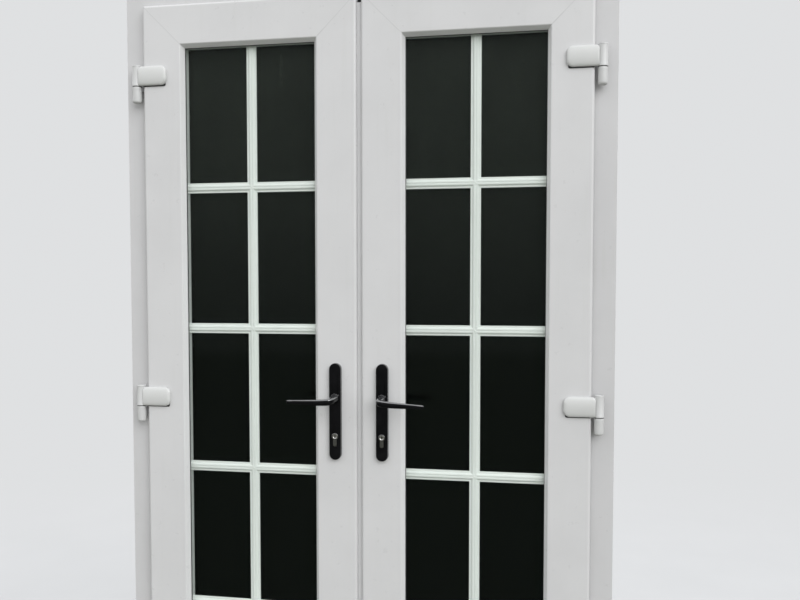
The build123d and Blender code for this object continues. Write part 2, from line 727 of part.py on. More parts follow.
def hinge_cover(seam):
    """The moulded cap over a flag's plate, with soft edges and two large corners."""
    x1 = HINGE_X - BARREL_R - COVER_GAP
    x0 = x1 - COVER_L
    z0 = seam + (UPPER_BARREL - COVER_H) / 2
    z1 = z0 + COVER_H
    cap = box(x0, x1, LEAF_Y - COVER_T, LEAF_Y, z0, z1)
    cap = fillet(cap.edges().filter_by(Axis.Y).group_by(Axis.X)[0], COVER_CORNER)
    cap = fillet(cap.edges().filter_by(Axis.Y).group_by(Axis.X)[-1], COVER_ROUND)
    cap = chamfer(cap.faces().sort_by(Axis.Y)[0].edges(), COVER_SOFT)
    w = COVER_WALL
    hollow = box(x0 + w, x1, LEAF_Y - COVER_T + w, LEAF_Y, z0 + w, z1 - w)
    hollow = fillet(hollow.edges().filter_by(Axis.Y).group_by(Axis.X)[0], COVER_CORNER - w)
    slot = box(x1 - COVER_ROUND, x1, LEAF_Y - COVER_T + w, LEAF_Y, z0 + w, z1 - w)
    return cap - hollow - slot


def backplate():
    """The long handle plate, with the holes for the neck and the cylinder."""
    plate = extrude(handle_plane(PLATE_Z) * SlotOverall(PLATE_H, PLATE_W, rotation=90), PLATE_T)
    plate = chamfer(plate.faces().sort_by(Axis.Y)[0].edges(), PLATE_SOFT)
    plate -= through(Circle(NECK_R + NECK_RUN), HANDLE_Z, -PLATE_T, 0)
    s = CYLINDER_SLACK
    profile = euro_profile(CYLINDER_R + s, CYLINDER_LEG + 2 * s, CYLINDER_H + 2 * s)
    return plate - through(profile, CYLINDER_Z, -PLATE_T, 0)


def outer_backplate():
    """The outside plate has blind holes that the through screws bite in."""
    plate = backplate()
    for z in SCREW_ZS:
        plate -= through(Circle(SCREW_R + PIN_SEAT), z, -PLATE_T + PLATE_SOFT, 0)
    return plate


def inner_backplate():
    """The inside plate, with countersinks for the screw heads."""
    plate = inside_copy(backplate())
    for z in SCREW_ZS:
        plate -= handle_screw(z, PIN_SEAT)
    return plate


def handle_screw(z, slack=0.0):
    """One long screw from the inside plate into the outside plate."""
    head = SASH_DEPTH + PLATE_T - SCREW_HEAD_T
    shank = through(Circle(SCREW_R + slack), z, -PLATE_T + PLATE_SOFT, head)
    return shank + through(Circle(SCREW_HEAD_R + slack), z, head, head + SCREW_HEAD_T)


def handle_screws():
    """The two screws that clamp the plates to the stile."""
    return Compound(children=[handle_screw(z) for z in SCREW_ZS])


def tapered(r0, x0, y0, r1, x1, y1):
    """The outline round two circles, as a belt would lie."""
    return make_hull((Pos(x0, y0) * Circle(r0)).edges() + (Pos(x1, y1) * Circle(r1)).edges())


def outer_lever():
    """A round neck with a bar on it: a tall heel, then a grip that tapers to the hinge side."""
    drop = LEVER_SINK * HEEL_L / LEVER_L
    heel = tapered(HEEL_R, 0, 0, GRIP_R, HEEL_L, -drop)
    grip = tapered(GRIP_R, HEEL_L, -drop, TIP_R, LEVER_L - TIP_R, -LEVER_SINK)
    bar = extrude(Pos(0, 0, LEVER_OUT - GRIP_T) * (heel + grip), GRIP_T)
    front = bar.faces().sort_by(Axis.Z)[-1].edges()
    lever = chamfer(front, GRIP_SOFT) + extrude(Pos(0, 0, NECK_LIFT) * Circle(NECK_R), LEVER_OUT - GRIP_T)
    socket_w = SPINDLE_W + 2 * SPINDLE_SLACK
    socket = extrude(Rectangle(socket_w, socket_w), SPINDLE_IN_LEVER + PLATE_T)
    return handle_plane(HANDLE_Z) * (lever - socket)


def spindle():
    """The square bar that joins the two levers through the gearbox."""
    reach = PLATE_T + SPINDLE_IN_LEVER - SPINDLE_TIP_GAP
    return through(Rectangle(SPINDLE_W, SPINDLE_W), HANDLE_Z, -reach, SASH_DEPTH + reach)


def cylinder():
    """The lock cylinder, with a keyway at both ends."""
    front = PLATE_T + CYLINDER_PROUD
    shape = euro_profile(CYLINDER_R, CYLINDER_LEG, CYLINDER_H)
    barrel = through(shape, CYLINDER_Z, -front, SASH_DEPTH + front)
    width, height, depth = KEYWAY
    keyway = through(Rectangle(width, height), CYLINDER_Z, -front, -front + depth)
    return barrel - keyway - inside_copy(keyway)


def glass_pane(v0):
    """One pane of the sealed unit, from v0 behind the leaf's face."""
    e = GLASS_EDGE
    y0 = LEAF_Y + v0
    return box(LEAF_X0 + e, LEAF_X1 - e, y0, y0 + GLASS_T, LEAF_Z0 + e, LEAF_Z1 - e)


def spacer():
    """The spacer frame between the two panes."""
    u0 = GLASS_EDGE + SPACER_IN
    v0 = GLASS_V + GLASS_T
    return closed_ring(strip_section(u0, u0 + SPACER_W, v0, v0 + CAVITY), LEAF_RECT, LEAF_Y)


def bar_heights():
    """The heights of the level glazing bars, in equal rows between the rails."""
    low, high = LEAF_Z0 + SIGHT - BEVEL_W, LEAF_Z1 - SIGHT + BEVEL_W
    return [low + (high - low) * n / ROWS for n in range(1, ROWS)]


def glazing_bars():
    """One upright bar and, coped to it on both sides, the level bars."""
    edge = GLASS_EDGE + SPACER_IN + SPACER_W
    middle_y = LEAF_Y + GLASS_V + GLASS_T + CAVITY / 2
    x0, x1, z0, z1 = LEAF_X0 + edge, LEAF_X1 - edge, LEAF_Z0 + edge, LEAF_Z1 - edge
    middle_x = (x0 + x1) / 2
    section = bar_section()
    upright = run(section, (middle_x, middle_y, z0), (1, 0, 0), (0, 0, 1), z1 - z0)
    pieces = [upright]
    for z in bar_heights():
        level = run(section, (x1, middle_y, z), (0, 0, 1), (-1, 0, 0), x1 - x0)
        pieces += (level - upright).solids()
    return Compound(children=pieces)


def glazing_gaskets():
    """The two gaskets that hold the sealed unit between the lip and the beads."""
    u0, u1 = SIGHT + GASKET_SHOW - GASKET_W, SIGHT + GASKET_SHOW
    outer = closed_ring(strip_section(u0, u1, LIP_T, LIP_T + GASKET_T), LEAF_RECT, LEAF_Y)
    inner = closed_ring(strip_section(u0, u1, UNIT_BACK, BEAD_V), LEAF_RECT, LEAF_Y)
    return Compound(children=[outer, inner])


def glass_packers():
    """The packers that centre the sealed unit in its rebate: two under it, one at each side."""
    y0, y1 = LEAF_Y + GLASS_V, LEAF_Y + UNIT_BACK
    f, e = REBATE_FLOOR, GLASS_EDGE
    third = (LEAF_X1 - LEAF_X0) / 3
    pieces = []
    for x in (LEAF_X0 + third, LEAF_X1 - third):
        pieces.append(box(x - PACKER_L / 2, x + PACKER_L / 2, y0, y1, LEAF_Z0 + f, LEAF_Z0 + e))
    for x0, z in ((LEAF_X0 + f, LEAF_Z0 + 2 * SIGHT), (LEAF_X1 - e, LEAF_Z1 - 2 * SIGHT)):
        pieces.append(box(x0, x0 + PACKER_T, y0, y1, z, z + PACKER_L))
    return Compound(children=pieces)


def sash_parts(side):
    """The four welded lengths of a leaf and the steel inside them."""
    rails = mitred_ring(sash_section(), LEAF_RECT, LEAF_Y)
    steel = mitred_ring(steel_section(), LEAF_RECT, LEAF_Y)
    gear = gear_voids(side)
    steel["left"] = steel["left"] - gear - gear_slot(0, SASH_DEPTH)
    web_slot = gear_slot(SASH_WALL, SASH_WALL + FRONT_CHAMBER_D)
    return {
        "hinge_stile": rails["right"],
        "lock_stile": rails["left"] - gear - handle_voids(CYLINDER_SLACK) - web_slot,
        "bottom_rail": rails["bottom"],
        "top_rail": rails["top"],
        "steel": Compound(children=list(steel.values())),
    }


def per_hinge(make):
    """One piece for each of the three hinges of a leaf."""
    return Compound(children=[make(seam) for seam in HINGE_SEAMS])


def leaf_parts(side):
    """Every piece of one leaf, drawn as the right leaf."""
    parts = sash_parts(side)
    parts["glazing_beads"] = Compound(children=list(mitred_ring(bead_section(), LEAF_RECT, LEAF_Y).values()))
    parts["outer_pane"] = glass_pane(GLASS_V)
    parts["inner_pane"] = glass_pane(GLASS_V + GLASS_T + CAVITY)
    parts["spacer"] = spacer()
    parts["glazing_bars"] = glazing_bars()
    parts["glazing_gaskets"] = glazing_gaskets()
    parts["glass_packers"] = glass_packers()
    parts["hinge_flags"] = per_hinge(hinge_flag)
    parts["hinge_covers"] = per_hinge(hinge_cover)
    parts["outer_backplate"] = outer_backplate()
    parts["inner_backplate"] = inner_backplate()
    parts["handle_screws"] = handle_screws()
    parts["cylinder"] = cylinder()
    parts["lock_strip"] = lock_strip(side)
    parts["outer_lever"] = outer_lever()
    parts["inner_lever"] = inside_copy(parts["outer_lever"])
    parts["spindle"] = spindle()
    return {f"{side}_{name}": on_side(shape, side) for name, shape in parts.items()}


def all_parts():
    """Every named piece of the doors."""
    parts = frame_parts()
    parts["frame_seals"] = frame_seals()
    brackets = per_hinge(hinge_bracket)
    pins = per_hinge(hinge_pin)
    washers = per_hinge(hinge_washer)
    parts["hinge_brackets"] = Compound(children=[brackets, on_side(brackets, "left")])
    parts["hinge_pins"] = Compound(children=[pins, on_side(pins, "left")])
    parts["hinge_washers"] = Compound(children=[washers, on_side(washers, "left")])
    parts["rod_keeps"] = rod_keeps()
    parts.update(leaf_parts("left"))
    parts.update(leaf_parts("right"))
    parts["left_mullion"] = mullion()
    parts["left_mullion_keeps"] = mullion_keeps()
    parts["left_top_bolt"] = shoot_rod(True)
    parts["left_bottom_bolt"] = shoot_rod(False)
    parts["right_adaptor"] = adaptor()
    parts["right_latch"] = latch()
    parts["right_bolts"] = bolts()
    return parts


os.makedirs("parts", exist_ok=True)
for part_name, part_shape in all_parts().items():
    export_step(part_shape, f"parts/{part_name}.step")
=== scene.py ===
"""The look of a pair of glazed doors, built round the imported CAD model.

Sizes are millimetres until a mesh is made, and metres in Blender. X is to the right seen from
outside, the outside is towards -Y, Z is up. The right leaf is drawn, the left is its mirror image.
"""
import math

import bmesh
import bpy
from mathutils import Euler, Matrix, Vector


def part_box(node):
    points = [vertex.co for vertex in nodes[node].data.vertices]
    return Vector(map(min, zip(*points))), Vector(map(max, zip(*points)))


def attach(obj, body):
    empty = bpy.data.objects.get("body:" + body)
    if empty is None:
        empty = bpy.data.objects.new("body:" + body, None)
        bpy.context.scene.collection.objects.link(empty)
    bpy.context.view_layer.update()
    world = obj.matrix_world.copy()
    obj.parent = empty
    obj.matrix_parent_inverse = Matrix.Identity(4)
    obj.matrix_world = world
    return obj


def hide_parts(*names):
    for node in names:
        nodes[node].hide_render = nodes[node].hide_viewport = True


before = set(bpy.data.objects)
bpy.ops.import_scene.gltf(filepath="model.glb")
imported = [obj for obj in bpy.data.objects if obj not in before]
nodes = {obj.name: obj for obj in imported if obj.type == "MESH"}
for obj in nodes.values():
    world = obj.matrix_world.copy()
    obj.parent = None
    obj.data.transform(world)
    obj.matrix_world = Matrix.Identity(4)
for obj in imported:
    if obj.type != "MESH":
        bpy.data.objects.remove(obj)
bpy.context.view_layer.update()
MM = 0.001

# Places and sizes that the CAD model gives
FRAME_W, FRAME_H = 1200.0, 2050.0
FACE_Y, LEAF_Y, LEAF_BACK = -35.0, -59.0, 11.0  # front of the frame, front and back of a leaf
MID_Y = (LEAF_Y + LEAF_BACK) / 2
LEAF_X0, LEAF_X1, LEAF_Z0, LEAF_Z1 = 5.8, 547.0, 53.0, 1997.0
HINGE_X, HINGE_Y = 564.5, -56.0
SEAMS = (1801.0, 1005.0, 233.0)  # heights of the upper barrels' low ends
UPPER_BARREL, LOWER_BARREL, WASHER_T, BARREL_R = 51.0, 40.0, 1.5, 11.0
HANDLE_X, HANDLE_Z, CYLINDER_Z, PLATE_Z = 57.6, 1035.0, 943.0, 1003.0
PLATE_T, PLATE_W, PLATE_H = 10.0, 29.5, 235.0
SCREW_ZS = (898.0, 1108.0)
GEAR_Y = -14.0
BAR_X, BAR_Y, BAR_ZS = 276.4, -27.0, (500.0, 850.0, 1200.0, 1550.0)
SIDES = (("left", -1), ("right", 1))


# Materials

# Colours are linear, noise scales are repeats per metre, bump heights are metres.
WHITE = (0.635, 0.635, 0.640)
FRAME_WHITE = (0.590, 0.588, 0.594)
HINGE_WHITE = (0.575, 0.58, 0.578)
RAIN_DIRT = (0.44, 0.45, 0.40)
SPECKS = (0.30, 0.29, 0.25)
SPLASHES = (0.36, 0.34, 0.27)
SPLASH_TOP = 0.42  # metres above the floor
DUST = (0.35, 0.34, 0.31)
HOLE_DARK = (0.03, 0.03, 0.03)
CLEAR_TINT = (0.97, 0.985, 0.975)
MIRROR_TINT = (0.9, 0.95, 0.92)
# The most that each mark covers, on plastic at dirt 1
STREAK_SHARE, SPECK_SHARE, SPLASH_SHARE = 0.22, 0.35, 0.30
NICK_SHARE, TARNISH_SHARE, BLOOM_SHARE, HOLE_SHARE = 0.5, 0.4, 0.35, 0.8
SPANGLE_FADE = 0.75  # how far the spangle is turned back into the plain colour
HOLE_EDGE, HOLE_ROW = (0.20, 0.13), (0.0032, 0.0028)  # of a hole in cells, of the row in metres
SPOT_SHARE, HAZE_SHARE, EVEN_SHARE = 0.8, 0.4, 0.5  # parts of the film on a pane
FILM_SPAN = (1.0, 1.95)  # metres above the floor over which the film changes


def shade(color, share):
    """The colour made darker or, over 1, paler."""
    return tuple(c * share for c in color)


class Nodes:
    """The node tree of a material or a world, with short calls."""

    def __init__(self, owner, out="ShaderNodeOutputMaterial", coord="Object"):
        owner.use_nodes = True
        self.owner = owner
        self.tree = owner.node_tree
        self.tree.nodes.clear()
        self.out = self.new(out)
        self.coord = self.new("ShaderNodeTexCoord").outputs[coord]

    def new(self, kind, **values):
        """A node with inputs set by name, where _ stands for a space."""
        node = self.tree.nodes.new(kind)
        for name, value in values.items():
            node.inputs[name.replace("_", " ")].default_value = value
        return node

    def link(self, source, target):
        self.tree.links.new(source, target)

    def feed(self, socket, value):
        """Gives a socket a number, a colour or another node's output."""
        if isinstance(value, (int, float)):
            socket.default_value = value
        elif isinstance(value, tuple):
            socket.default_value = (*value, 1.0)
        else:
            self.link(value, socket)

    def noise(self, scale, detail, rough, stretch=None, distortion=0.0):
        node = self.new("ShaderNodeTexNoise", Scale=scale, Detail=detail, Roughness=rough)
        node.inputs["Distortion"].default_value = distortion
        place = self.coord
        if stretch:
            mapping = self.new("ShaderNodeMapping", Scale=stretch)
            self.link(place, mapping.inputs["Vector"])
            place = mapping.outputs[0]
        self.link(place, node.inputs["Vector"])
        return node.outputs["Fac"]

    def cells(self, scale):
        node = self.new("ShaderNodeTexVoronoi", Scale=scale)
        self.link(self.coord, node.inputs["Vector"])
        return node

    def span(self, source, a, b, low=0.0, high=1.0, smooth=True):
        """source rescaled so that a becomes low and b becomes high."""
        node = self.new("ShaderNodeMapRange", From_Min=a, From_Max=b, To_Min=low, To_Max=high)
        node.interpolation_type = "SMOOTHSTEP" if smooth else "LINEAR"
        self.link(source, node.inputs["Value"])
        return node.outputs[0]

    def math(self, operation, *values):
        node = self.new("ShaderNodeMath")
        node.operation = operation
        for socket, value in zip(node.inputs, values):
            self.feed(socket, value)
        return node.outputs[0]

    def mix(self, factor, a, b):
        """Colour a, turned into colour b by factor."""
        node = self.new("ShaderNodeMix")
        node.data_type = "RGBA"
        for socket, value in zip((node.inputs[0], node.inputs[6], node.inputs[7]), (factor, a, b)):
            self.feed(socket, value)
        return node.outputs[2]

    def blend(self, factor, a, b):
        """Shader a, turned into shader b by factor."""
        node = self.new("ShaderNodeMixShader")
        for socket, value in zip(node.inputs, (factor, a.outputs[0], b.outputs[0])):
            self.link(value, socket)
        return node

    def axis(self, name, source=None):
        node = self.new("ShaderNodeSeparateXYZ")
        self.link(self.coord if source is None else source, node.inputs[0])
        return node.outputs[name]

    def rays(self, first, second):
        """1 for rays of either kind."""
        kinds = self.new("ShaderNodeLightPath").outputs
        return self.math("MAXIMUM", kinds[f"Is {first} Ray"], kinds[f"Is {second} Ray"])

    def bump(self, height, distance, strength):
        node = self.new("ShaderNodeBump", Distance=distance, Strength=strength)
        self.link(height, node.inputs["Height"])
        return node.outputs[0]

    def show(self, shader):
        self.link(shader.outputs[0], self.out.inputs["Surface"])

    def surface(self, color, rough, normal, **fixed):
        shader = self.new("ShaderNodeBsdfPrincipled", **fixed)
        self.link(color, shader.inputs["Base Color"])
        self.link(rough, shader.inputs["Roughness"])
        self.link(normal, shader.inputs["Normal"])
        self.show(shader)


def material(name):
    return Nodes(bpy.data.materials.new(name))


def upvc(name, color, dirt, along=(1.0, 1.0, 1.0), coat=0.0):
    """White moulded or extruded plastic: faint die lines, cloudy tone, rain dirt and scuffs."""
    n = material(name)
    cloud = n.span(n.noise(3.2, 5.0, 0.6), 0.32, 0.7)
    tone = n.mix(cloud, shade(color, 0.955), shade(color, 1.02))
    streak = n.span(n.noise(9.0, 6.0, 0.62, stretch=(7.0, 7.0, 0.45)), 0.53, 0.78)
    tone = n.mix(n.math("MULTIPLY", streak, STREAK_SHARE * dirt), tone, RAIN_DIRT)
    specks = n.span(n.noise(420.0, 2.0, 0.5), 0.70, 0.78)
    patch = n.span(n.noise(6.0, 3.0, 0.5), 0.45, 0.65)
    specks = n.math("MULTIPLY", specks, n.math("MULTIPLY", patch, SPECK_SHARE * dirt))
    tone = n.mix(specks, tone, SPECKS)
    low = n.span(n.axis("Z"), SPLASH_TOP, 0.0)
    splash = n.math("MULTIPLY", low, n.span(n.noise(26.0, 7.0, 0.7), 0.40, 0.66))
    tone = n.mix(n.math("MULTIPLY", splash, SPLASH_SHARE * dirt), tone, SPLASHES)
    rough = n.span(n.noise(55.0, 5.0, 0.65), 0.3, 0.72, 0.27, 0.43)
    die = n.noise(700.0, 2.0, 0.5, stretch=along)
    peel = n.noise(210.0, 3.0, 0.5)
    height = n.math("ADD", n.math("MULTIPLY", die, 0.6), n.math("MULTIPLY", peel, 0.5))
    n.surface(tone, rough, n.bump(height, 0.00004, 0.35), Coat_Weight=coat, Coat_Roughness=0.12)
    return n.owner


def coated(name, color, edge, rough, peel=0.00004, cloud=1.7, level=0.5, dusty=0.05, coat=0.0):
    """Gloss paint on metal: orange peel, dulled patches from hands, a few pale nicks.

    edge is the colour of the nicks, rough the least and most roughness, peel the height of the
    orange peel, cloud how many times as pale the patches are, level the specular level, dusty the
    share of dust and coat the weight of the clear coat.
    """
    n = material(name)
    patches = n.span(n.noise(24.0, 5.0, 0.6), 0.35, 0.7)
    tone = n.mix(patches, color, shade(color, cloud))
    nick = n.span(n.noise(310.0, 3.0, 0.55), 0.735, 0.77)
    patch = n.span(n.noise(32.0, 3.0, 0.5), 0.52, 0.66)
    tone = n.mix(n.math("MULTIPLY", nick, n.math("MULTIPLY", patch, NICK_SHARE)), tone, edge)
    dust = n.span(n.noise(120.0, 6.0, 0.7), 0.5, 0.75)
    tone = n.mix(n.math("MULTIPLY", dust, dusty), tone, DUST)
    dull = n.span(n.noise(44.0, 5.0, 0.65, distortion=0.6), 0.36, 0.68, *rough)
    normal = n.bump(n.noise(480.0, 3.0, 0.5), peel, 0.6)
    n.surface(
        tone, dull, normal,
        Specular_IOR_Level=level, Coat_Weight=coat, Coat_IOR=2.2, Coat_Roughness=0.08
    )
    return n.owner


def metal(name, color, rough, brush=(1.0, 1.0, 60.0), tarnish=(0.30, 0.29, 0.27), spangle=0.0):
    """Plated or brushed metal with fine lines, tarnish and, on galvanised steel, spangle."""
    n = material(name)
    lines = n.noise(160.0, 4.0, 0.6, stretch=brush)
    tone = n.mix(n.span(lines, 0.3, 0.7), shade(color, 0.86), color)
    old = n.span(n.noise(38.0, 6.0, 0.68), 0.5, 0.74)
    tone = n.mix(n.math("MULTIPLY", old, TARNISH_SHARE), tone, tarnish)
    if spangle:
        tone = n.mix(spangle, tone, n.cells(140.0).outputs["Color"])
        tone = n.mix(SPANGLE_FADE, tone, color)
    shine = n.span(n.noise(70.0, 5.0, 0.6, stretch=brush), 0.3, 0.7, *rough)
    n.surface(tone, shine, n.bump(lines, 0.00004, 0.5), Metallic=1.0)
    return n.owner


def rubber(name):
    """Dull black seal with chalky bloom and mould marks, also the black strips under the hinge
    covers that are painted shadow.
    """
    n = material(name)
    bloom = n.span(n.noise(60.0, 6.0, 0.7), 0.45, 0.75)
    chalky = n.math("MULTIPLY", bloom, BLOOM_SHARE)
    tone = n.mix(chalky, (0.018, 0.018, 0.019), (0.085, 0.085, 0.08))
    rough = n.span(n.noise(90.0, 4.0, 0.6), 0.3, 0.7, 0.5, 0.75)
    n.surface(tone, rough, n.bump(n.noise(900.0, 2.0, 0.5), 0.00006, 0.6))
    return n.owner


def moulded(name, color):
    """Plain moulded plastic for packers and washers."""
    n = material(name)
    cloud = n.span(n.noise(40.0, 4.0, 0.6), 0.35, 0.7)
    tone = n.mix(cloud, shade(color, 0.88), color)
    dull = n.span(n.noise(120.0, 4.0, 0.6), 0.3, 0.7, 0.42, 0.6)
    n.surface(tone, dull, n.bump(n.noise(600.0, 2.0, 0.5), 0.00005, 0.5))
    return n.owner


def spacer_look(name):
    """Mill-finish spacer bar with the line of fine holes on its inner face."""
    n = material(name)
    lines = n.noise(200.0, 4.0, 0.6, stretch=(8.0, 60.0, 8.0))
    tone = n.mix(n.span(lines, 0.3, 0.7), (0.52, 0.54, 0.53), (0.66, 0.68, 0.67))
    cells = n.cells(240.0)
    cells.inputs["Randomness"].default_value = 0.0
    dots = n.span(cells.outputs["Distance"], *HOLE_EDGE)
    off_line = n.math("ABSOLUTE", n.math("ADD", n.axis("Y"), -BAR_Y * MM))
    holes = n.math("MULTIPLY", dots, n.span(off_line, *HOLE_ROW))
    tone = n.mix(n.math("MULTIPLY", holes, HOLE_SHARE), tone, HOLE_DARK)
    n.surface(tone, n.span(lines, 0.3, 0.7, 0.34, 0.5), n.bump(lines, 0.00004, 0.5), Metallic=0.35)
    return n.owner


def pane_look(name, tint, shine, film, film_color, room=False):
    """Float glass: a clear tint with a weak mirror, under faint dust and dried rain marks.

    shine is the share that each face mirrors head on, and more at a slant. film is the share of
    dust low down and high up on the pane. With room, the glass is painted dark to look into from
    outside, the shade of an unlit room behind it, and clear to look out of.
    """
    n = material(name)
    clear = n.new("ShaderNodeBsdfTransparent", Color=(*tint, 1.0))
    if room:
        # painted shade of an unlit room: dark for camera and mirror rays that come in from outside
        normal = n.new("ShaderNodeTexCoord").outputs["Normal"]
        inward = n.math("LESS_THAN", n.axis("Y", normal), 0.0)
        dark = n.math("MULTIPLY", inward, n.rays("Camera", "Glossy"))
        n.link(n.mix(dark, CLEAR_TINT, tint), clear.inputs["Color"])
    mirror = n.new("ShaderNodeBsdfGlossy", Color=(*MIRROR_TINT, 1.0))
    marks = n.noise(14.0, 5.0, 0.6, stretch=(3.0, 3.0, 0.6))
    n.link(n.span(marks, 0.4, 0.8, 0.0, 0.05), mirror.inputs["Roughness"])
    n.link(n.bump(n.noise(2.6, 2.0, 0.4), 0.0015, 0.25), mirror.inputs["Normal"])
    facing = n.new("ShaderNodeLayerWeight", Blend=0.5).outputs["Facing"]
    slant = n.math("POWER", facing, 5.0)
    share = n.math("ADD", n.math("MULTIPLY", slant, 1.0 - shine), shine)
    pane = n.blend(share, clear, mirror)
    dust = n.new("ShaderNodeBsdfDiffuse")
    n.link(n.mix(n.noise(5.0, 4.0, 0.6), shade(film_color, 0.8), film_color), dust.inputs["Color"])
    spots = n.span(n.noise(180.0, 4.0, 0.65), 0.60, 0.74)
    haze = n.span(marks, 0.35, 0.8)
    haze = n.math("MULTIPLY", haze, HAZE_SHARE)
    amount = n.math("ADD", n.math("MULTIPLY", spots, SPOT_SHARE), haze)
    amount = n.math("ADD", amount, EVEN_SHARE)
    amount = n.math("MULTIPLY", amount, n.span(n.axis("Z"), *FILM_SPAN, *film))
    n.show(n.blend(amount, pane, dust))
    return n.owner


LEVEL, UPRIGHT = (0.02, 1.0, 1.0), (1.0, 1.0, 0.02)  # the way that the die lines run
looks = {
    "leaf_x": upvc("leaf_white_level", WHITE, 0.4, LEVEL),
    "leaf_z": upvc("leaf_white_upright", WHITE, 0.4, UPRIGHT),
    "frame_x": upvc("frame_white_level", FRAME_WHITE, 0.6, LEVEL),
    "frame_z": upvc("frame_white_upright", FRAME_WHITE, 0.6, UPRIGHT),
    "bead": upvc("bead_white", (0.62, 0.625, 0.625), 0.3),
    "weld": upvc("weld_white", (0.575, 0.575, 0.58), 0.5),
    "cover": upvc("cover_moulded_white", (0.62, 0.627, 0.62), 0.3, coat=0.35),
    "bar": upvc("bar_satin_white", (0.75, 0.775, 0.755), 0.1),
    "hinge": coated(
        "hinge_powder_white", HINGE_WHITE, (0.45, 0.45, 0.45), (0.30, 0.37),
        cloud=1.03, peel=0.00002
    ),
    "black": coated(
        "handle_gloss_black", (0.004, 0.004, 0.0045), (0.10, 0.10, 0.10), (0.07, 0.17),
        level=0.07, dusty=0.006
    ),
    # A paler, shinier copy of the gloss black for the tops of the levers: a painted highlight.
    "black_painted_highlight": coated(
        "handle_black_painted_highlight", (0.055, 0.055, 0.057), (0.20, 0.20, 0.20), (0.12, 0.22),
        level=1.0, dusty=0.01, coat=1.0
    ),
    # A paler, shinier copy of the gloss black for the plates' rounded edges: a painted highlight.
    "plate_painted_highlight": coated(
        "plate_black_painted_highlight", (0.022, 0.022, 0.023), (0.20, 0.20, 0.20), (0.14, 0.24),
        level=0.4, dusty=0.01, coat=0.35
    ),
    # Also on the keyway's faces, where the black is painted shade.
    "screw": coated(
        "screw_black_oxide_and_keyway_shade", (0.012, 0.012, 0.013), (0.20, 0.20, 0.20), (0.3, 0.5),
        level=0.3, dusty=0.02
    ),
    # Nickel darkened far below its own colour: painted shade for the dark surroundings it mirrors.
    "nickel": metal(
        "cylinder_nickel_painted_dark", (0.19, 0.19, 0.187), (0.16, 0.28), tarnish=(0.12, 0.115, 0.11)
    ),
    "plug": metal(
        "plug_bright_nickel", (0.46, 0.455, 0.44), (0.16, 0.26), tarnish=(0.2, 0.19, 0.17)
    ),
    "gear": metal("gear_zinc_plate", (0.60, 0.60, 0.61), (0.26, 0.42), brush=(40.0, 40.0, 1.0)),
    "galvanised": metal("galvanised_steel", (0.50, 0.51, 0.52), (0.35, 0.55), spangle=0.6),
    "rubber": rubber("seal_black_rubber_and_shadow_strip"),
    "packer": moulded("packer_blue", (0.02, 0.10, 0.32)),
    "nylon": moulded("washer_nylon", (0.035, 0.036, 0.034)),
    "spacer": spacer_look("spacer_mill_finish"),
    "outer_glass": pane_look(
        "glass_clear_outer", (0.985, 0.995, 0.988), 0.0037, (0.002, 0.006), (0.42, 0.47, 0.44)
    ),
    # The dark tint is painted shade: the unlit room seen through clear glass.
    "inner_glass": pane_look(
        "glass_inner_painted_room_shade", (0.045, 0.055, 0.048), 0.0009, (0.003, 0.055), (0.38, 0.44, 0.37),
        room=True
    ),
}

FRAME_LOOKS = {
    "frame_left_jamb": "frame_z", "frame_right_jamb": "frame_z", "frame_sill": "frame_x",
    "frame_head": "frame_x", "hinge_pins": "gear", "hinge_washers": "nylon",
    "rod_keeps": "gear", "frame_seals": "rubber", "hinge_brackets": "hinge",
}
LEAF_LOOKS = {
    "hinge_stile": "leaf_z", "lock_stile": "leaf_z", "bottom_rail": "leaf_x",
    "top_rail": "leaf_x", "mullion": "leaf_z", "adaptor": "leaf_z", "steel": "galvanised",
    "glazing_beads": "bead", "outer_pane": "outer_glass", "inner_pane": "inner_glass",
    "spacer": "spacer", "glazing_bars": "bar", "glazing_gaskets": "rubber",
    "glass_packers": "packer", "hinge_flags": "hinge", "hinge_covers": "cover",
    "outer_backplate": "black", "inner_backplate": "black", "outer_lever": "black",
    "inner_lever": "black", "handle_screws": "screw", "cylinder": "nickel", "spindle": "gear",
    "lock_strip": "gear", "mullion_keeps": "gear", "top_bolt": "gear", "bottom_bolt": "gear",
    "latch": "gear", "bolts": "gear",
}
for name, node in nodes.items():
    look = FRAME_LOOKS.get(name) or LEAF_LOOKS[name.split("_", 1)[1]]
    node.data.materials.clear()
    node.data.materials.append(looks[look])


# Mesh tools

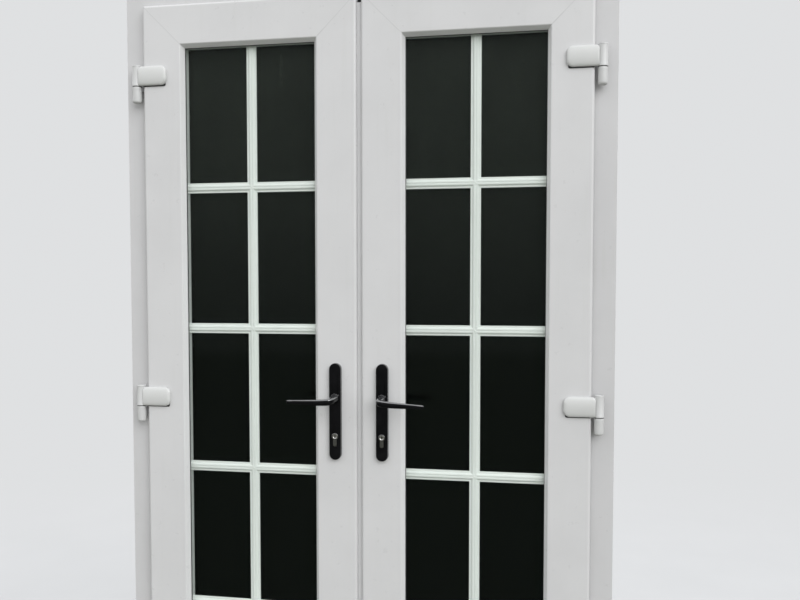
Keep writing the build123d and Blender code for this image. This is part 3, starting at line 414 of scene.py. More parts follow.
class Shape:
    """Gathers loops, walls and caps of one piece, in millimetres."""

    def __init__(self):
        self.bm = bmesh.new()

    def loop(self, points):
        return [self.bm.verts.new(Vector(p) * MM) for p in points]

    def wall(self, a, b):
        count = len(a)
        for i in range(count):
            j = (i + 1) % count
            self.bm.faces.new((a[i], a[j], b[j], b[i]))

    def walls(self, loops):
        for a, b in zip(loops, loops[1:]):
            self.wall(a, b)

    def cap(self, loop):
        self.bm.faces.new(loop)

    def cap_with_holes(self, loops):
        edges = []
        for loop in loops:
            for i, a in enumerate(loop):
                b = loop[(i + 1) % len(loop)]
                edges.append(self.bm.edges.get((a, b)) or self.bm.edges.new((a, b)))
        bmesh.ops.triangle_fill(self.bm, use_beauty=True, use_dissolve=False, edges=edges)

    def solid(self, loops):
        made = [self.loop(points) for points in loops]
        self.walls(made)
        self.cap(made[0])
        self.cap(made[-1])

    def mirror(self):
        for v in self.bm.verts:
            v.co.x = -v.co.x

    def mesh(self, name):
        """Ends the shape and leaves its mesh."""
        mesh = bpy.data.meshes.new(name)
        self.bm.to_mesh(mesh)
        self.bm.free()
        return mesh

    def piece(self, name, look, body, slot, replaces, sharp, side=1, second=None, where=None):
        """Ends the shape as a piece that rides on body.

        Edges over sharp degrees stay sharp. side -1 makes the mirror image for the left leaf.
        second is the look of the faces for which where is true.
        """
        if side < 0:
            self.mirror()
        bmesh.ops.recalc_face_normals(self.bm, faces=self.bm.faces)
        mesh = self.mesh(name)
        mesh.shade_smooth()
        mesh.set_sharp_from_angle(angle=math.radians(sharp))
        mesh.materials.append(looks[look])
        if second:
            mesh.materials.append(looks[second])
            for face in mesh.polygons:
                face.material_index = int(where(face))
        obj = bpy.data.objects.new(name, mesh)
        bpy.context.scene.collection.objects.link(obj)
        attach(obj, body)
        if replaces:
            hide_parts(*replaces)


def ring_points(count, radius):
    """Points round a circle about the origin."""
    turns = [math.radians(360.0 * i / count) for i in range(count)]
    return [(radius * math.cos(a), radius * math.sin(a)) for a in turns]


def rounded_rect(x0, x1, y0, y1, radii, steps=10):
    """Corner radii in the order right-top, left-top, left-bottom, right-bottom."""
    centres = ((x1, y1, -1, -1, 0), (x0, y1, 1, -1, 90), (x0, y0, 1, 1, 180), (x1, y0, -1, 1, 270))
    points = []
    for (x, y, sx, sy, start), r in zip(centres, radii):
        for i in range(steps + 1):
            a = math.radians(start + 90.0 * i / steps)
            points.append((x + sx * r + r * math.cos(a), y + sy * r + r * math.sin(a)))
    return points


def stadium(width, height, steps=20):
    """An upright slot outline about the origin."""
    r, h = width / 2, height / 2 - width / 2
    turns = [math.pi * i / steps for i in range(steps + 1)]
    top = [(r * math.cos(a), h + r * math.sin(a)) for a in turns]
    return top + [(-x, -y) for x, y in top]


EURO_R, EURO_LEG, EURO_H = 8.5, 5.0, 33.0  # round top's radius, leg's half width, whole height


def euro_outline(more, steps=18):
    """The cylinder's outline: a round top at the origin and a leg below it, grown by more."""
    r, leg, drop = EURO_R + more, EURO_LEG + more, EURO_H - EURO_R - EURO_LEG
    a0 = math.asin(leg / r)
    points = []
    for i in range(2 * steps + 1):
        a = -math.pi / 2 + a0 + (2 * math.pi - 2 * a0) * i / (2 * steps)
        points.append((r * math.cos(a), r * math.sin(a)))
    for i in range(steps + 1):
        a = math.pi + math.pi * i / steps
        points.append((leg * math.cos(a), -drop + leg * math.sin(a)))
    return points


def off_leaf(depth, inside):
    """The Y of a place that stands depth proud of the leaf's face."""
    return LEAF_BACK + depth if inside else LEAF_Y - depth


def on_face(points, depth, z, inside):
    """Outline points on the leaf's face at the handle, depth in front of it."""
    y = off_leaf(depth, inside)
    return [(HANDLE_X + px, y, z + pz) for px, pz in points]


def quarter(steps, first=False):
    """Angles over a quarter turn, with or without the first one."""
    return [math.pi / 2 * i / steps for i in range(0 if first else 1, steps + 1)]


def smooth_path(points, steps=7):
    """Catmull-Rom through rows of numbers."""
    rows = []
    last = len(points) - 1
    for i in range(last):
        before, after = points[max(i - 1, 0)], points[min(i + 2, last)]
        for s in range(steps):
            t = s / steps
            rows.append(tuple(
                0.5 * (
                    2 * b + (c - a) * t + (2 * a - 5 * b + 4 * c - d) * t * t
                    + (3 * b - a - 3 * c + d) * t ** 3
                )
                for a, b, c, d in zip(before, points[i], points[i + 1], after)
            ))
    return rows + [tuple(points[-1])]


# Handles

# Stations of the lever: x towards its tip, distance out, height, half height, half thickness
LEVER_STATIONS = [
    (0.0, 1.0, 0.0, 8.9, 8.9),
    (0.0, 10.0, 0.0, 8.9, 8.9),
    (0.0, 12.0, 0.0, 10.3, 10.3),
    (0.0, 15.0, 0.0, 10.1, 10.0),
    (0.0, 22.0, -0.1, 9.2, 9.0),
    (0.0, 34.0, -0.5, 8.4, 7.9),
    (0.6, 45.0, -1.4, 8.1, 7.3),
    (3.6, 52.2, -2.4, 8.0, 6.8),
    (10.5, 55.6, -3.4, 7.9, 6.0),
    (24.0, 56.2, -4.5, 7.6, 5.4),
    (44.0, 56.0, -5.3, 7.1, 5.0),
    (68.0, 55.2, -5.8, 6.2, 4.6),
    (90.0, 53.8, -6.0, 5.2, 4.2),
    (103.5, 52.8, -6.2, 4.6, 3.8),
]
LEVER_TIP = 108.5
TIP_ROWS, TIP_QUARTER = 6, 6.4  # rows of the soft tip, and how many would close it
TIP_IN, TIP_DOWN = 0.06, 0.03  # slopes of the tip
GRIP_POINTS = 40  # points round the grip
GRIP_POWER = 2 / 2.35  # under 1, so that the grip's section is a little square
HIGHLIGHT_UP = 0.42  # faces of the grip that look up more than this get a paler, shinier black: a painted highlight
LEVER_SAG = {"left": 0.018, "right": -0.026}  # slope that the tired springs leave
# The low ring at the root of the neck: radius, distance in front of the plate
COLLAR = [(11.6, 0.0), (11.6, 0.4), (11.2, 0.8), (10.4, 0.9), (8.6, 0.9), (8.6, 0.0)]
COLLAR_POINTS = 48


def grip_rows():
    """The stations made smooth, with a soft tip."""
    rows = smooth_path(LEVER_STATIONS)
    x, d, z, a, b = rows[-1]
    for i in range(1, TIP_ROWS + 1):
        t = math.pi / 2 * i / TIP_QUARTER
        reach = (LEVER_TIP - x) * math.sin(t)
        rows.append((
            x + reach, d - TIP_IN * reach, z - TIP_DOWN * reach, a * math.cos(t), b * math.cos(t)
        ))
    return rows


def squared(value):
    """A cosine or sine that fills the corners of the section a little."""
    return math.copysign(abs(value) ** GRIP_POWER, value)


def lever(side, sign, place):
    """A round neck that bends into a flattened grip with a soft tip."""
    inside = place == "inner"
    rows = grip_rows()
    shape = Shape()
    loops = []
    for i, (x, d, z, a, b) in enumerate(rows):
        before, after = rows[max(i - 1, 0)], rows[min(i + 1, len(rows) - 1)]
        tx, td = after[0] - before[0], after[1] - before[1]
        size = math.hypot(tx, td) or 1.0
        nx, nd = -td / size, tx / size
        z += LEVER_SAG[side] * max(x, 0.0)
        points = []
        for k in range(GRIP_POINTS):
            t = 2 * math.pi * k / GRIP_POINTS
            c, s = squared(math.cos(t)), squared(math.sin(t))
            y = off_leaf(d + nd * b * s, inside)
            points.append((HANDLE_X + x + nx * b * s, y, HANDLE_Z + z + a * c))
        loops.append(points)
    shape.solid(loops)
    rings = []
    for r, up in COLLAR:
        outline = ring_points(COLLAR_POINTS, r)
        rings.append(shape.loop(on_face(outline, PLATE_T + up, HANDLE_Z, inside)))
    shape.walls(rings)
    shape.wall(rings[-1], rings[0])
    shape.piece(
        f"{side}_{place}_lever_grip", "black", f"{side}_lever", "handle_black",
        [f"{side}_{place}_lever"], 50.0, sign,
        # the faces that look up get the painted highlight
        "black_painted_highlight", lambda face: face.normal.z > HIGHLIGHT_UP
    )


# Sections of the plate's edge from the leaf outwards: inset, distance in front of the leaf
PLATE_EDGE, PLATE_ROUND, PLATE_STEPS = (0.5, 9.2), 0.7, 5
PLATE_LEVELS = [(0.0, 0.0), (0.0, 0.8), (0.1, 1.4), PLATE_EDGE]
PLATE_LEVELS += [
    (PLATE_EDGE[0] + PLATE_ROUND * (1 - math.cos(a)), PLATE_EDGE[1] + PLATE_ROUND * math.sin(a))
    for a in quarter(PLATE_STEPS)
]
PLATE_LEVELS += [(5.0, PLATE_T - 0.04), (8.2, PLATE_T)]
EDGE_NORMAL = 0.5  # faces that look less than this towards the outside or the inside are edges
NECK_HOLE_R, NECK_HOLE_POINTS, CYLINDER_SLACK = 9.1, 40, 0.3
SCREW_HOLE = ((5.4, 0.0), (4.7, 1.0), (4.7, 2.7))  # radius, distance behind the plate's front
SCREW_HOLE_POINTS = 32


def backplate(side, sign, place):
    """The long plate with rounded edges, a faint crown and its holes."""
    inside = place == "inner"
    shape = Shape()
    levels = []
    for inset, up in PLATE_LEVELS:
        outline = stadium(PLATE_W - 2 * inset, PLATE_H - 2 * inset)
        levels.append(shape.loop(on_face(outline, up, PLATE_Z, inside)))
    shape.walls(levels)
    holes_top, holes_low = [], []
    neck_hole = ring_points(NECK_HOLE_POINTS, NECK_HOLE_R)
    for outline, z in ((neck_hole, HANDLE_Z), (euro_outline(CYLINDER_SLACK), CYLINDER_Z)):
        top = shape.loop(on_face(outline, PLATE_T, z, inside))
        low = shape.loop(on_face(outline, 0.0, z, inside))
        shape.wall(top, low)
        holes_top.append(top)
        holes_low.append(low)
    if inside:
        for z in SCREW_ZS:
            rings = []
            for r, back in SCREW_HOLE:
                outline = ring_points(SCREW_HOLE_POINTS, r)
                rings.append(shape.loop(on_face(outline, PLATE_T - back, z, inside)))
            shape.walls(rings)
            shape.cap(rings[-1])
            holes_top.append(rings[0])
    shape.cap_with_holes([levels[-1]] + holes_top)
    shape.cap_with_holes([levels[0]] + holes_low)
    shape.piece(
        f"{side}_{place}_plate", "black", f"{side}_leaf", "handle_black",
        [f"{side}_{place}_backplate"], 30.0, sign,
        # the edge faces get the painted highlight
        "plate_painted_highlight", lambda face: abs(face.normal.y) < EDGE_NORMAL
    )


# Rings of a screw head as shares of its radius and rise
HEAD_RINGS = ((1.0, 0.0), (0.985, 0.45), (0.86, 0.85), (0.68, 1.0))
HEAD_POINTS = 28
# The cross recess as shares of the head's radius, and its floor as a share of its mouth
CROSS_ARM, CROSS_HALF, CROSS_DEEP, CROSS_FLOOR = 0.58, 0.13, 0.42, 0.55


def cross_head(shape, centre, normal_axis, radius, rise, out):
    """A low domed screw head with a cross recess. normal_axis is 0, 1 or 2, out is +1 or -1."""
    def place(u, v, w):
        other = [k for k in range(3) if k != normal_axis]
        p = [0.0, 0.0, 0.0]
        p[other[0]], p[other[1]], p[normal_axis] = u, v, w * out
        return tuple(c + q for c, q in zip(centre, p))

    arm, half = radius * CROSS_ARM, radius * CROSS_HALF
    cross = [
        (half, half), (half, arm), (-half, arm), (-half, half), (-arm, half), (-arm, -half),
        (-half, -half), (-half, -arm), (half, -arm), (half, -half), (arm, -half), (arm, half),
    ]
    rings = []
    for r, up in HEAD_RINGS:
        outline = ring_points(HEAD_POINTS, radius * r)
        rings.append(shape.loop([place(u, v, rise * up) for u, v in outline]))
    shape.walls(rings)
    top = shape.loop([place(u, v, rise) for u, v in cross])
    depth = rise - radius * CROSS_DEEP
    low = shape.loop([place(u * CROSS_FLOOR, v * CROSS_FLOOR, depth) for u, v in cross])
    shape.wall(top, low)
    shape.cap(low)
    shape.cap_with_holes([rings[-1], top])
    shape.cap(rings[0])


CYLINDER_FRONT = PLATE_T + 2.0
# Growth of the body's outline, or a radius, and the distance back from the cylinder's front
BODY_ROWS = ((0.0, 18.0), (0.0, 1.2), (-0.35, 0.4), (-1.2, 0.0))
PLUG_HOLE = ((6.6, 0.0), (6.5, 10.0))
PLUG_RINGS = ((6.15, 9.9), (6.15, 0.9), (5.9, 0.6), (5.4, 0.5), (5.0, 0.6), (3.6, 1.5))
PLUG_POINTS = 36
KEYWAY = [
    (1.5, 3.0), (1.5, 1.0), (1.1, 0.7), (1.1, -0.8), (1.5, -1.1), (1.5, -3.0),
    (-1.5, -3.0), (-1.5, -1.6), (-1.0, -1.3), (-1.0, 1.0), (-1.5, 1.3), (-1.5, 3.0),
]
KEYWAY_TOP, KEYWAY_LOW = 1.55, 9.0
KEYWAY_R = 3.4  # faces of a plug nearer to its middle line may be in the keyway
KEYWAY_FLOOR = 40.0  # and the ones nearer to the leaf's middle are down in it


def in_keyway(face):
    """True for the faces inside the keyway of either leaf's plugs, which are painted black as its
    shade.
    """
    x, y, z = (c / MM for c in face.center)
    near = math.hypot(abs(x) - HANDLE_X, z - CYLINDER_Z) < KEYWAY_R
    return near and (abs(face.normal.y) < EDGE_NORMAL or abs(y - MID_Y) < KEYWAY_FLOOR)


def cylinder_end(body, plugs, inside):
    """One end of the cylinder: a bevelled body, and a dished plug with the keyway."""
    def loop(shape, outline, back):
        return shape.loop(on_face(outline, CYLINDER_FRONT - back, CYLINDER_Z, inside))

    skin = [loop(body, euro_outline(more), back) for more, back in BODY_ROWS]
    body.walls(skin)
    body.cap(skin[0])
    hole = [loop(body, ring_points(PLUG_POINTS, r), back) for r, back in PLUG_HOLE]
    body.walls(hole)
    body.cap(hole[-1])
    body.cap_with_holes([skin[-1], hole[0]])
    rings = [loop(plugs, ring_points(PLUG_POINTS, r), back) for r, back in PLUG_RINGS]
    plugs.walls(rings)
    plugs.cap(rings[0])
    keyway = [loop(plugs, KEYWAY, back) for back in (KEYWAY_TOP, KEYWAY_LOW)]
    plugs.walls(keyway)
    plugs.cap(keyway[-1])
    plugs.cap_with_holes([rings[-1], keyway[0]])


def lock_cylinder(side, sign):
    """Both ends of the cylinder: bodies in a nickel darkened as painted shade, and bright plugs.
    """
    body, plugs = Shape(), Shape()
    for inside in (False, True):
        cylinder_end(body, plugs, inside)
    body.piece(
        f"{side}_cylinder_ends", "nickel", f"{side}_leaf", "cylinder_chrome",
        [f"{side}_cylinder"], 30.0, sign
    )
    plugs.piece(
        f"{side}_cylinder_plugs", "plug", f"{side}_leaf", "cylinder_chrome",
        # the keyway's faces get the black screw look: painted shade
        (), 30.0, sign, "screw", in_keyway
    )


HANDLE_SCREW_R, HANDLE_SCREW_RISE, HANDLE_SCREW_BACK = 4.4, 2.3, 2.6


def handle_screw_heads(side, sign):
    """The heads of the two through screws, seated in the inside plate."""
    shape = Shape()
    for z in SCREW_ZS:
        seat = (HANDLE_X, LEAF_BACK + PLATE_T - HANDLE_SCREW_BACK, z)
        cross_head(shape, seat, 1, HANDLE_SCREW_R, HANDLE_SCREW_RISE, 1)
    shape.piece(
        f"{side}_screw_heads", "screw", f"{side}_leaf", "screw_black",
        [f"{side}_handle_screws"], 30.0, sign
    )


# Hinges

COVER_X = (483.5, 556.5)
COVER_H, COVER_T, COVER_DOME = 47.0, 11.0, 2.8
COVER_LIFT = 0.3  # the cover's lower edge above the seam
COVER_RADII, COVER_LEAST_R = (8.5, 15.0, 15.0, 4.0), 1.6
COVER_SHRINK = 0.6  # share of the inset that its corner radii lose
COVER_STEEP = 0.18  # share of the inset that its side next to the barrel takes
COVER_BEND = 4.4  # distance in front of the leaf where it starts to dome
# Sections of the cover from the leaf outwards: inset, distance in front of the leaf
COVER_LEVELS = [
    (1.0, 0.0), (1.0, 0.9), (0.1, 1.3), (0.0, COVER_BEND), (0.1, 5.6), (0.45, 7.0), (1.1, 8.3),
    (2.2, 9.4), (3.8, 10.2), (6.0, 10.65), (9.0, 10.85), (13.0, 10.97), (17.0, COVER_T),
    (21.0, COVER_T),
]
BARREL_POINTS = 48
LOW_DISC, TOP_DISC = 1.2, 2.2  # how much smaller than its edge a barrel's closing disc is
GROOVE = ((0.0, 0.6), (0.6, 0.3), (0.6, -0.3), (0.0, -0.6))  # depth, height about its middle
LOW_COLLAR = ((1.0, 0.6), (1.0, 1.8), (0.0, 2.9))  # share of the collar's rise, height
# Low edge's radius, top edge's radius, groove's distance from the top, and the collar's rise
UPPER_ENDS, LOWER_ENDS = (0.5, 0.9, 3.2, 0.5), (6.0, 1.1, 7.0, 0.0)
SOFT_EDGE, LEAST_R = 0.3, 0.2  # share where a block's soft edge bends, least corner radius
# Blocks of the plate on the leaf, of the black strip that peeks out under the cover as a painted
# shadow, and of the foot on the frame
FLAG_IN, FLAG_T, FLAG_HALF, FLAG_R = 56.0, 4.0, 20.0, 2.0
SHADOW_PAD_IN, SHADOW_PAD_SHORT, SHADOW_PAD_T, SHADOW_PAD_DOWN, SHADOW_PAD_UP, SHADOW_PAD_R, SHADOW_PAD_EDGE = 4.0, 0.4, 1.1, 2.1, 12.0, 4.0, 0.3
FOOT_HALF, FOOT_BACK, FOOT_DOWN, FOOT_UP, FOOT_R = 6.0, 2.0, 11.0, 14.0, 2.5


def hinge_cover(shape, seam):
    """A cushion with large corners away from the barrel and a shadow gap behind it."""
    x0, x1 = COVER_X
    z0 = seam + COVER_LIFT
    z1 = z0 + COVER_H
    middle = (z0 + z1) / 2
    loops = []
    for inset, up in COVER_LEVELS:
        radii = [max(r - inset * COVER_SHRINK, COVER_LEAST_R) for r in COVER_RADII]
        right = x1 - inset * COVER_STEEP
        outline = rounded_rect(x0 + inset, right, z0 + inset, z1 - inset, radii)
        dome = COVER_DOME * max(up - COVER_BEND, 0.0) / (COVER_T - COVER_BEND)
        loops.append([
            (x, LEAF_Y - up + dome * ((z - middle) / (COVER_H / 2)) ** 2, z) for x, z in outline
        ])
    shape.solid(loops)


def barrel(shape, z0, z1, low, high, groove, collar):
    """A barrel with a round top, a groove below it, and a collar or a round edge at its foot."""
    rows = [(BARREL_R - LOW_DISC - low, z0), (BARREL_R - low, z0)]
    if collar:
        rows += [(BARREL_R + collar * share, z0 + up) for share, up in LOW_COLLAR]
    else:
        rows += [
            (BARREL_R - low + low * math.sin(a), z0 + low * (1 - math.cos(a))) for a in quarter(7)
        ]
    rows += [(BARREL_R - deep, z1 - groove - z) for deep, z in GROOVE]
    rows += [
        (BARREL_R - high + high * math.cos(a), z1 - high + high * math.sin(a))
        for a in quarter(5, True)
    ]
    rows.append((BARREL_R - TOP_DISC - high, z1))
    shape.solid([
        [(HINGE_X + x, HINGE_Y + y, z) for x, y in ring_points(BARREL_POINTS, r)] for r, z in rows
    ])


def block(shape, x0, x1, y0, y1, z0, z1, r, edge=0.8):
    """A block with corners rounded in X and Z, and soft front edges towards -Y."""
    loops = []
    soft = edge * SOFT_EDGE
    for inset, y in ((0.0, y1), (0.0, y0 + edge), (soft, y0 + soft), (edge, y0)):
        radii = (max(r - inset, LEAST_R),) * 4
        outline = rounded_rect(x0 + inset, x1 - inset, z0 + inset, z1 - inset, radii, steps=6)
        loops.append([(x, y, z) for x, z in outline])
    shape.solid(loops)


def leaf_hinges(side, sign):
    """Upper barrels and plates on the leaf, and the covers over the plates with black strips below
    them as painted shadow.
    """
    flags, covers, shadow_pads = Shape(), Shape(), Shape()
    for seam in SEAMS:
        barrel(flags, seam, seam + UPPER_BARREL, *UPPER_ENDS)
        middle = seam + UPPER_BARREL / 2
        block(
            flags, LEAF_X1 - FLAG_IN, HINGE_X, LEAF_Y - FLAG_T, LEAF_Y,
            middle - FLAG_HALF, middle + FLAG_HALF, FLAG_R
        )
        hinge_cover(covers, seam)
        # a black strip that peeks out under the cover: painted shadow
        block(
            shadow_pads, COVER_X[0] + SHADOW_PAD_IN, LEAF_X1 - SHADOW_PAD_SHORT, LEAF_Y - SHADOW_PAD_T, LEAF_Y,
            seam - SHADOW_PAD_DOWN, seam + SHADOW_PAD_UP, SHADOW_PAD_R, SHADOW_PAD_EDGE
        )
    body = f"{side}_leaf"
    flags.piece(
        f"{side}_hinge_knuckles", "hinge", body, "hinge_white", [f"{side}_hinge_flags"], 40, sign
    )
    # The black strips under the covers are painted shadow.
    shadow_pads.piece(f"{side}_hinge_shadow_pads", "rubber", body, "black_rubber", (), 40, sign)
    covers.piece(
        f"{side}_hinge_caps", "cover", body, "cover_white", [f"{side}_hinge_covers"], 50, sign
    )


def frame_hinges():
    """Lower barrels on their feet, fixed to the frame."""
    shape = Shape()
    for _, sign in SIDES:
        half = Shape()
        for seam in SEAMS:
            top = seam - WASHER_T
            barrel(half, top - LOWER_BARREL, top, *LOWER_ENDS)
            middle = top - LOWER_BARREL / 2
            block(
                half, HINGE_X - FOOT_HALF, HINGE_X + FOOT_HALF, HINGE_Y + FOOT_BACK, FACE_Y,
                middle - FOOT_DOWN, middle + FOOT_UP, FOOT_R
            )
        if sign < 0:
            half.mirror()
        mesh = half.mesh("half")
        shape.bm.from_mesh(mesh)
        bpy.data.meshes.remove(mesh)
    shape.piece("frame_hinge_knuckles", "hinge", "frame", "hinge_white", ["hinge_brackets"], 40)


# Welds

WELD_RISE = 0.15
# Section of a weld line: across it in millimetres, outwards as a share of its rise
WELD_SECTION = ((-1.0, -0.05), (-0.55, 0.75), (0.0, 1.0), (0.55, 0.75), (1.0, -0.05), (0.0, -0.3))
# Paths over the profiles, in from the corner: distance in, distance back, outward normal
LEAF_FRONT_PATH = [
    (0.12, 6.5, -1, 0), (0.5, 3.6, -0.92, -0.4), (1.8, 1.75, -0.7, -0.7), (3.6, 0.5, -0.4, -0.92),
    (6.2, 0.02, 0, -1), (50.0, 0.0, 0, -1), (95.6, 0.0, 0, -1), (97.6, 0.7, 0.5, -0.85),
    (104.4, 11.2, 0.83, -0.55), (104.9, 12.2, 0.9, -0.3),
]
LEAF_BACK_PATH = [(22.0, 69.98, 0, 1), (50.0, 70.0, 0, 1), (85.0, 70.0, 0, 1)]
FRAME_FRONT_PATH = [(1.0, 0.0, 0, -1), (28.0, 0.0, 0, -1), (55.0, 0.0, 0, -1)]
FRAME_BACK_PATH = [(1.0, 70.0, 0, 1), (40.0, 70.0, 0, 1), (76.5, 70.0, 0, 1)]


def weld(shape, corner, u_sign, z_sign, path):
    """A low ridge along a mitre."""
    x0, y0, z0 = corner
    across = Vector((u_sign, 0.0, -z_sign)).normalized()
    rows = []
    for u, v, nu, nv in path:
        base = Vector((x0 + u_sign * u, y0 + v, z0 + z_sign * u))
        out = Vector((u_sign * nu, nv, z_sign * nu)).normalized()
        rows.append([tuple(base + across * w + out * (h * WELD_RISE)) for w, h in WELD_SECTION])
    shape.solid(rows)


def weld_corners(name, body, side, y, box, paths):
    """Weld lines on the four mitres of a leaf or of the frame."""
    x0, x1, z0, z1 = box
    shape = Shape()
    for z, z_sign in ((z0, 1), (z1, -1)):
        for x, u_sign in ((x0, 1), (x1, -1)):
            for path in paths:
                weld(shape, (x, y, z), u_sign, z_sign, path)
    shape.piece(name, "weld", body, "white_upvc", (), 60, side)


def welds():
    """The weld lines of both leaves and of the frame."""
    leaf_box = (LEAF_X0, LEAF_X1, LEAF_Z0, LEAF_Z1)
    leaf_paths = (LEAF_FRONT_PATH, LEAF_BACK_PATH)
    for side, sign in SIDES:
        weld_corners(f"{side}_weld_lines", f"{side}_leaf", sign, LEAF_Y, leaf_box, leaf_paths)
    frame_box = (-FRAME_W / 2, FRAME_W / 2, 0.0, FRAME_H)
    frame_paths = (FRAME_FRONT_PATH, FRAME_BACK_PATH)
    weld_corners("frame_weld_lines", "frame", 1, FACE_Y, frame_box, frame_paths)


# Glazing

# Half section of a glazing bar: distance from its middle line, half thickness
BAR_HALF = [
    (12.3, 1.8), (12.0, 2.4), (9.0, 2.6), (8.6, 2.3), (4.8, 5.7), (4.4, 5.9), (1.6, 6.0),
    (0.9, 5.2), (0.0, 5.2),
]
UPRIGHT_THIN = 0.98  # the upright bars are this share as thick, so that no faces coincide
CROSS_SIZE, CROSS_OFF, CROSS_BACK, CROSS_TIP = 5.2, 5.3, 1.2, 1.6


def glazing_bars(side, sign):
    """Level and upright bars with flat edges, steep shoulders and a ridge, between the spacers."""
    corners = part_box("right_glazing_bars")
    ends_x, ends_z = (
        (min(c[k] for c in corners) / MM, max(c[k] for c in corners) / MM) for k in (0, 2)
    )
    front = BAR_HALF + [(-u, w) for u, w in reversed(BAR_HALF[:-1])]
    section = front + [(-u, -w) for u, w in front]
    shape = Shape()
    for z in BAR_ZS:
        shape.solid([[(x, BAR_Y - w, z + u) for u, w in section] for x in ends_x])
    shape.solid([[(BAR_X + u, BAR_Y - w * UPRIGHT_THIN, z) for u, w in section] for z in ends_z])
    shape.piece(
        f"{side}_bars", "bar", f"{side}_leaf", "bar_white", [f"{side}_glazing_bars"], 12, sign
    )


def bar_crosses(side, sign):
    """The small four-sided points where the level bars are notched over the upright one."""
    diamond = ((CROSS_SIZE, 0.0), (0.0, CROSS_SIZE), (-CROSS_SIZE, 0.0), (0.0, -CROSS_SIZE))
    shape = Shape()
    for z in BAR_ZS:
        for out in (-1, 1):
            y = BAR_Y + out * CROSS_OFF
            base = shape.loop([(BAR_X + u, y, z + v) for u, v in diamond])
            low = shape.loop([(BAR_X + u, y - out * CROSS_BACK, z + v) for u, v in diamond])
            tip = shape.loop([(BAR_X, y + out * CROSS_TIP, z)])[0]
            shape.wall(low, base)
            shape.cap(low)
            for i in range(4):
                shape.bm.faces.new((base[i], base[(i + 1) % 4], tip))
    shape.piece(f"{side}_bar_crosses", "bar", f"{side}_leaf", "bar_white", (), 10, sign)


# Small fasteners

# Per body: X of the strip's face, the way it looks, and the heights of its screws
STRIP_SCREWS = {
    "right_leaf": (
        10.0, -1, (200.0, 330.0, 560.0, 760.0, 1190.0, 1340.0, 1520.0, 1760.0, 1850.0)
    ),
    "left_leaf": (0.5, 1, (380.0, 436.0, 961.0, 1093.0, 1614.0, 1670.0)),
}
KEEP_X, KEEP_SCREW_X, KEEP_Z = -24.8, 22.0, 59.5
GEAR_SCREW_R, GEAR_SCREW_RISE, GEAR_SCREW_SINK = 3.6, 0.7, 0.25


def gear_screws():
    """Screws that hold strips and keeps to their profiles."""
    for body, (x, out, heights) in STRIP_SCREWS.items():
        shape = Shape()
        for z in heights:
            place = (x - out * GEAR_SCREW_SINK, GEAR_Y, z)
            cross_head(shape, place, 0, GEAR_SCREW_R, GEAR_SCREW_RISE, out)
        shape.piece(f"{body}_gear_screws", "gear", body, "gear_steel", (), 30)
    shape = Shape()
    for z, out in ((KEEP_Z, 1), (FRAME_H - KEEP_Z, -1)):
        for dx in (-KEEP_SCREW_X, KEEP_SCREW_X):
            place = (KEEP_X + dx, GEAR_Y, z - out * GEAR_SCREW_SINK)
            cross_head(shape, place, 2, GEAR_SCREW_R, GEAR_SCREW_RISE, out)
    shape.piece("frame_keep_screws", "gear", "frame", "gear_steel", (), 30)


for side, sign in SIDES:
    for place in ("outer", "inner"):
        lever(side, sign, place)
        backplate(side, sign, place)
    lock_cylinder(side, sign)
    handle_screw_heads(side, sign)
    leaf_hinges(side, sign)
    glazing_bars(side, sign)
    bar_crosses(side, sign)
frame_hinges()
welds()
gear_screws()


# Stage, light and camera

PALE = (0.74, 0.75, 0.76)  # what the camera sees behind the doors
SKY_LOW, SKY_HIGH = (0.20, 0.20, 0.18), (1.14, 1.15, 1.17)
SKY_SPAN = (-0.35, 0.40)  # upward share of a direction at which the sky has each colour
FLOOR_R, FLOOR_SIDES = 14.0, 96
FLOOR_TONES = (0.50, 0.505, 0.51), (0.54, 0.545, 0.55)
FLOOR_DARK = (0.18, 0.182, 0.158)  # what mirrors and bounced light find there
FLOOR_FADE = (1.6, 4.5)  # metres from the doors over which the floor turns into the background
LAMP_AIM = (0.0, 0.0, 1.0)
LENS, SENSOR_W, CLIP = 38.25, 36.0, (0.05, 60.0)
PICTURE_W, SHIFT_UP = 800.0, 23.97  # pixels
CAMERA_PLACE = (0.4578, -2.0475, 1.3147)
CAMERA_TURN = (87.208, 0.0, 10.194)


def world_light():
    """A soft sky for light, and a plain pale ground for what the camera sees."""
    world = bpy.data.worlds.new("studio")
    bpy.context.scene.world = world
    n = Nodes(world, "ShaderNodeOutputWorld", "Generated")
    sky = n.new("ShaderNodeBackground")
    up = n.span(n.axis("Z"), *SKY_SPAN, smooth=False)
    n.link(n.mix(up, SKY_LOW, SKY_HIGH), sky.inputs["Color"])
    pale = n.new("ShaderNodeBackground", Color=(*PALE, 1.0))
    n.show(n.blend(n.rays("Camera", "Transmission"), sky, pale))


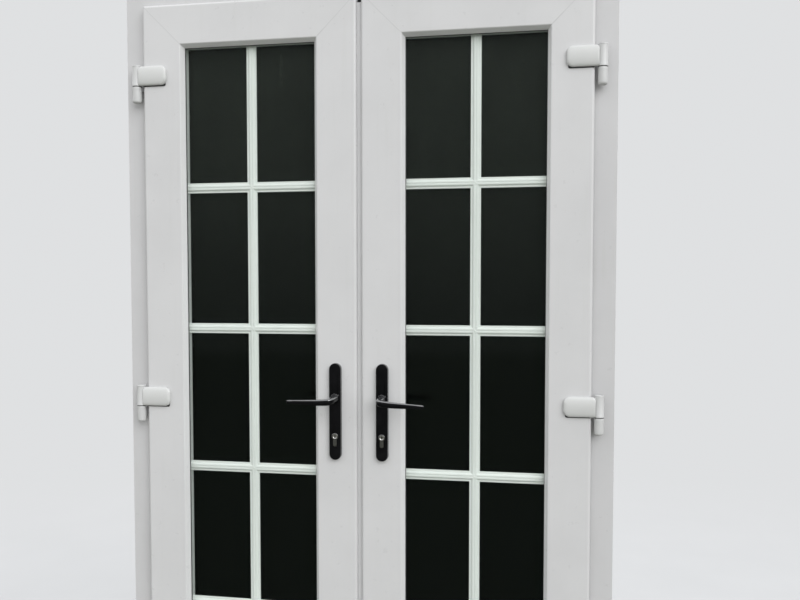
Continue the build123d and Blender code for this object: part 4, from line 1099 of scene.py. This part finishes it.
def floor():
    """A large pale floor that keeps the shadow near the doors and fades into the background."""
    bm = bmesh.new()
    bmesh.ops.create_circle(bm, cap_ends=True, radius=FLOOR_R, segments=FLOOR_SIDES)
    mesh = bpy.data.meshes.new("floor")
    bm.to_mesh(mesh)
    bm.free()
    obj = bpy.data.objects.new("floor", mesh)
    bpy.context.scene.collection.objects.link(obj)
    n = material("floor_pale")
    ground = n.new("ShaderNodeBsdfDiffuse")
    n.link(n.mix(n.noise(3.0, 4.0, 0.5), *FLOOR_TONES), ground.inputs["Color"])
    far = n.new("ShaderNodeEmission", Color=(*PALE, 1.0))
    away = n.new("ShaderNodeVectorMath")
    away.operation = "LENGTH"
    n.link(n.coord, away.inputs[0])
    shown = n.blend(n.span(away.outputs["Value"], *FLOOR_FADE), ground, far)
    dark = n.new("ShaderNodeBsdfDiffuse", Color=(*FLOOR_DARK, 1.0))
    n.show(n.blend(n.rays("Camera", "Transmission"), dark, shown))
    mesh.materials.append(n.owner)


def sun(name, place, energy, angle):
    """A soft sun aimed at the middle of the doors, angle degrees wide."""
    data = bpy.data.lights.new(name, "SUN")
    data.energy = energy
    data.angle = math.radians(angle)
    obj = bpy.data.objects.new(name, data)
    bpy.context.scene.collection.objects.link(obj)
    obj.location = place
    obj.rotation_euler = (Vector(LAMP_AIM) - Vector(place)).to_track_quat("-Z", "Y").to_euler()


world_light()
floor()
sun("soft_front", (2.1, -2.7, 3.0), 1.5, 50)
sun("soft_back", (-1.6, 3.2, 2.6), 0.9, 60)

camera_data = bpy.data.cameras.new("camera")
camera_data.sensor_width = SENSOR_W
camera_data.lens = LENS
camera_data.shift_y = SHIFT_UP / PICTURE_W
camera_data.clip_start, camera_data.clip_end = CLIP
camera = bpy.data.objects.new("camera", camera_data)
bpy.context.scene.collection.objects.link(camera)
camera.location = CAMERA_PLACE
camera.rotation_euler = Euler([math.radians(angle) for angle in CAMERA_TURN])
bpy.context.scene.camera = camera
bpy.context.scene.view_settings.view_transform = "Standard"
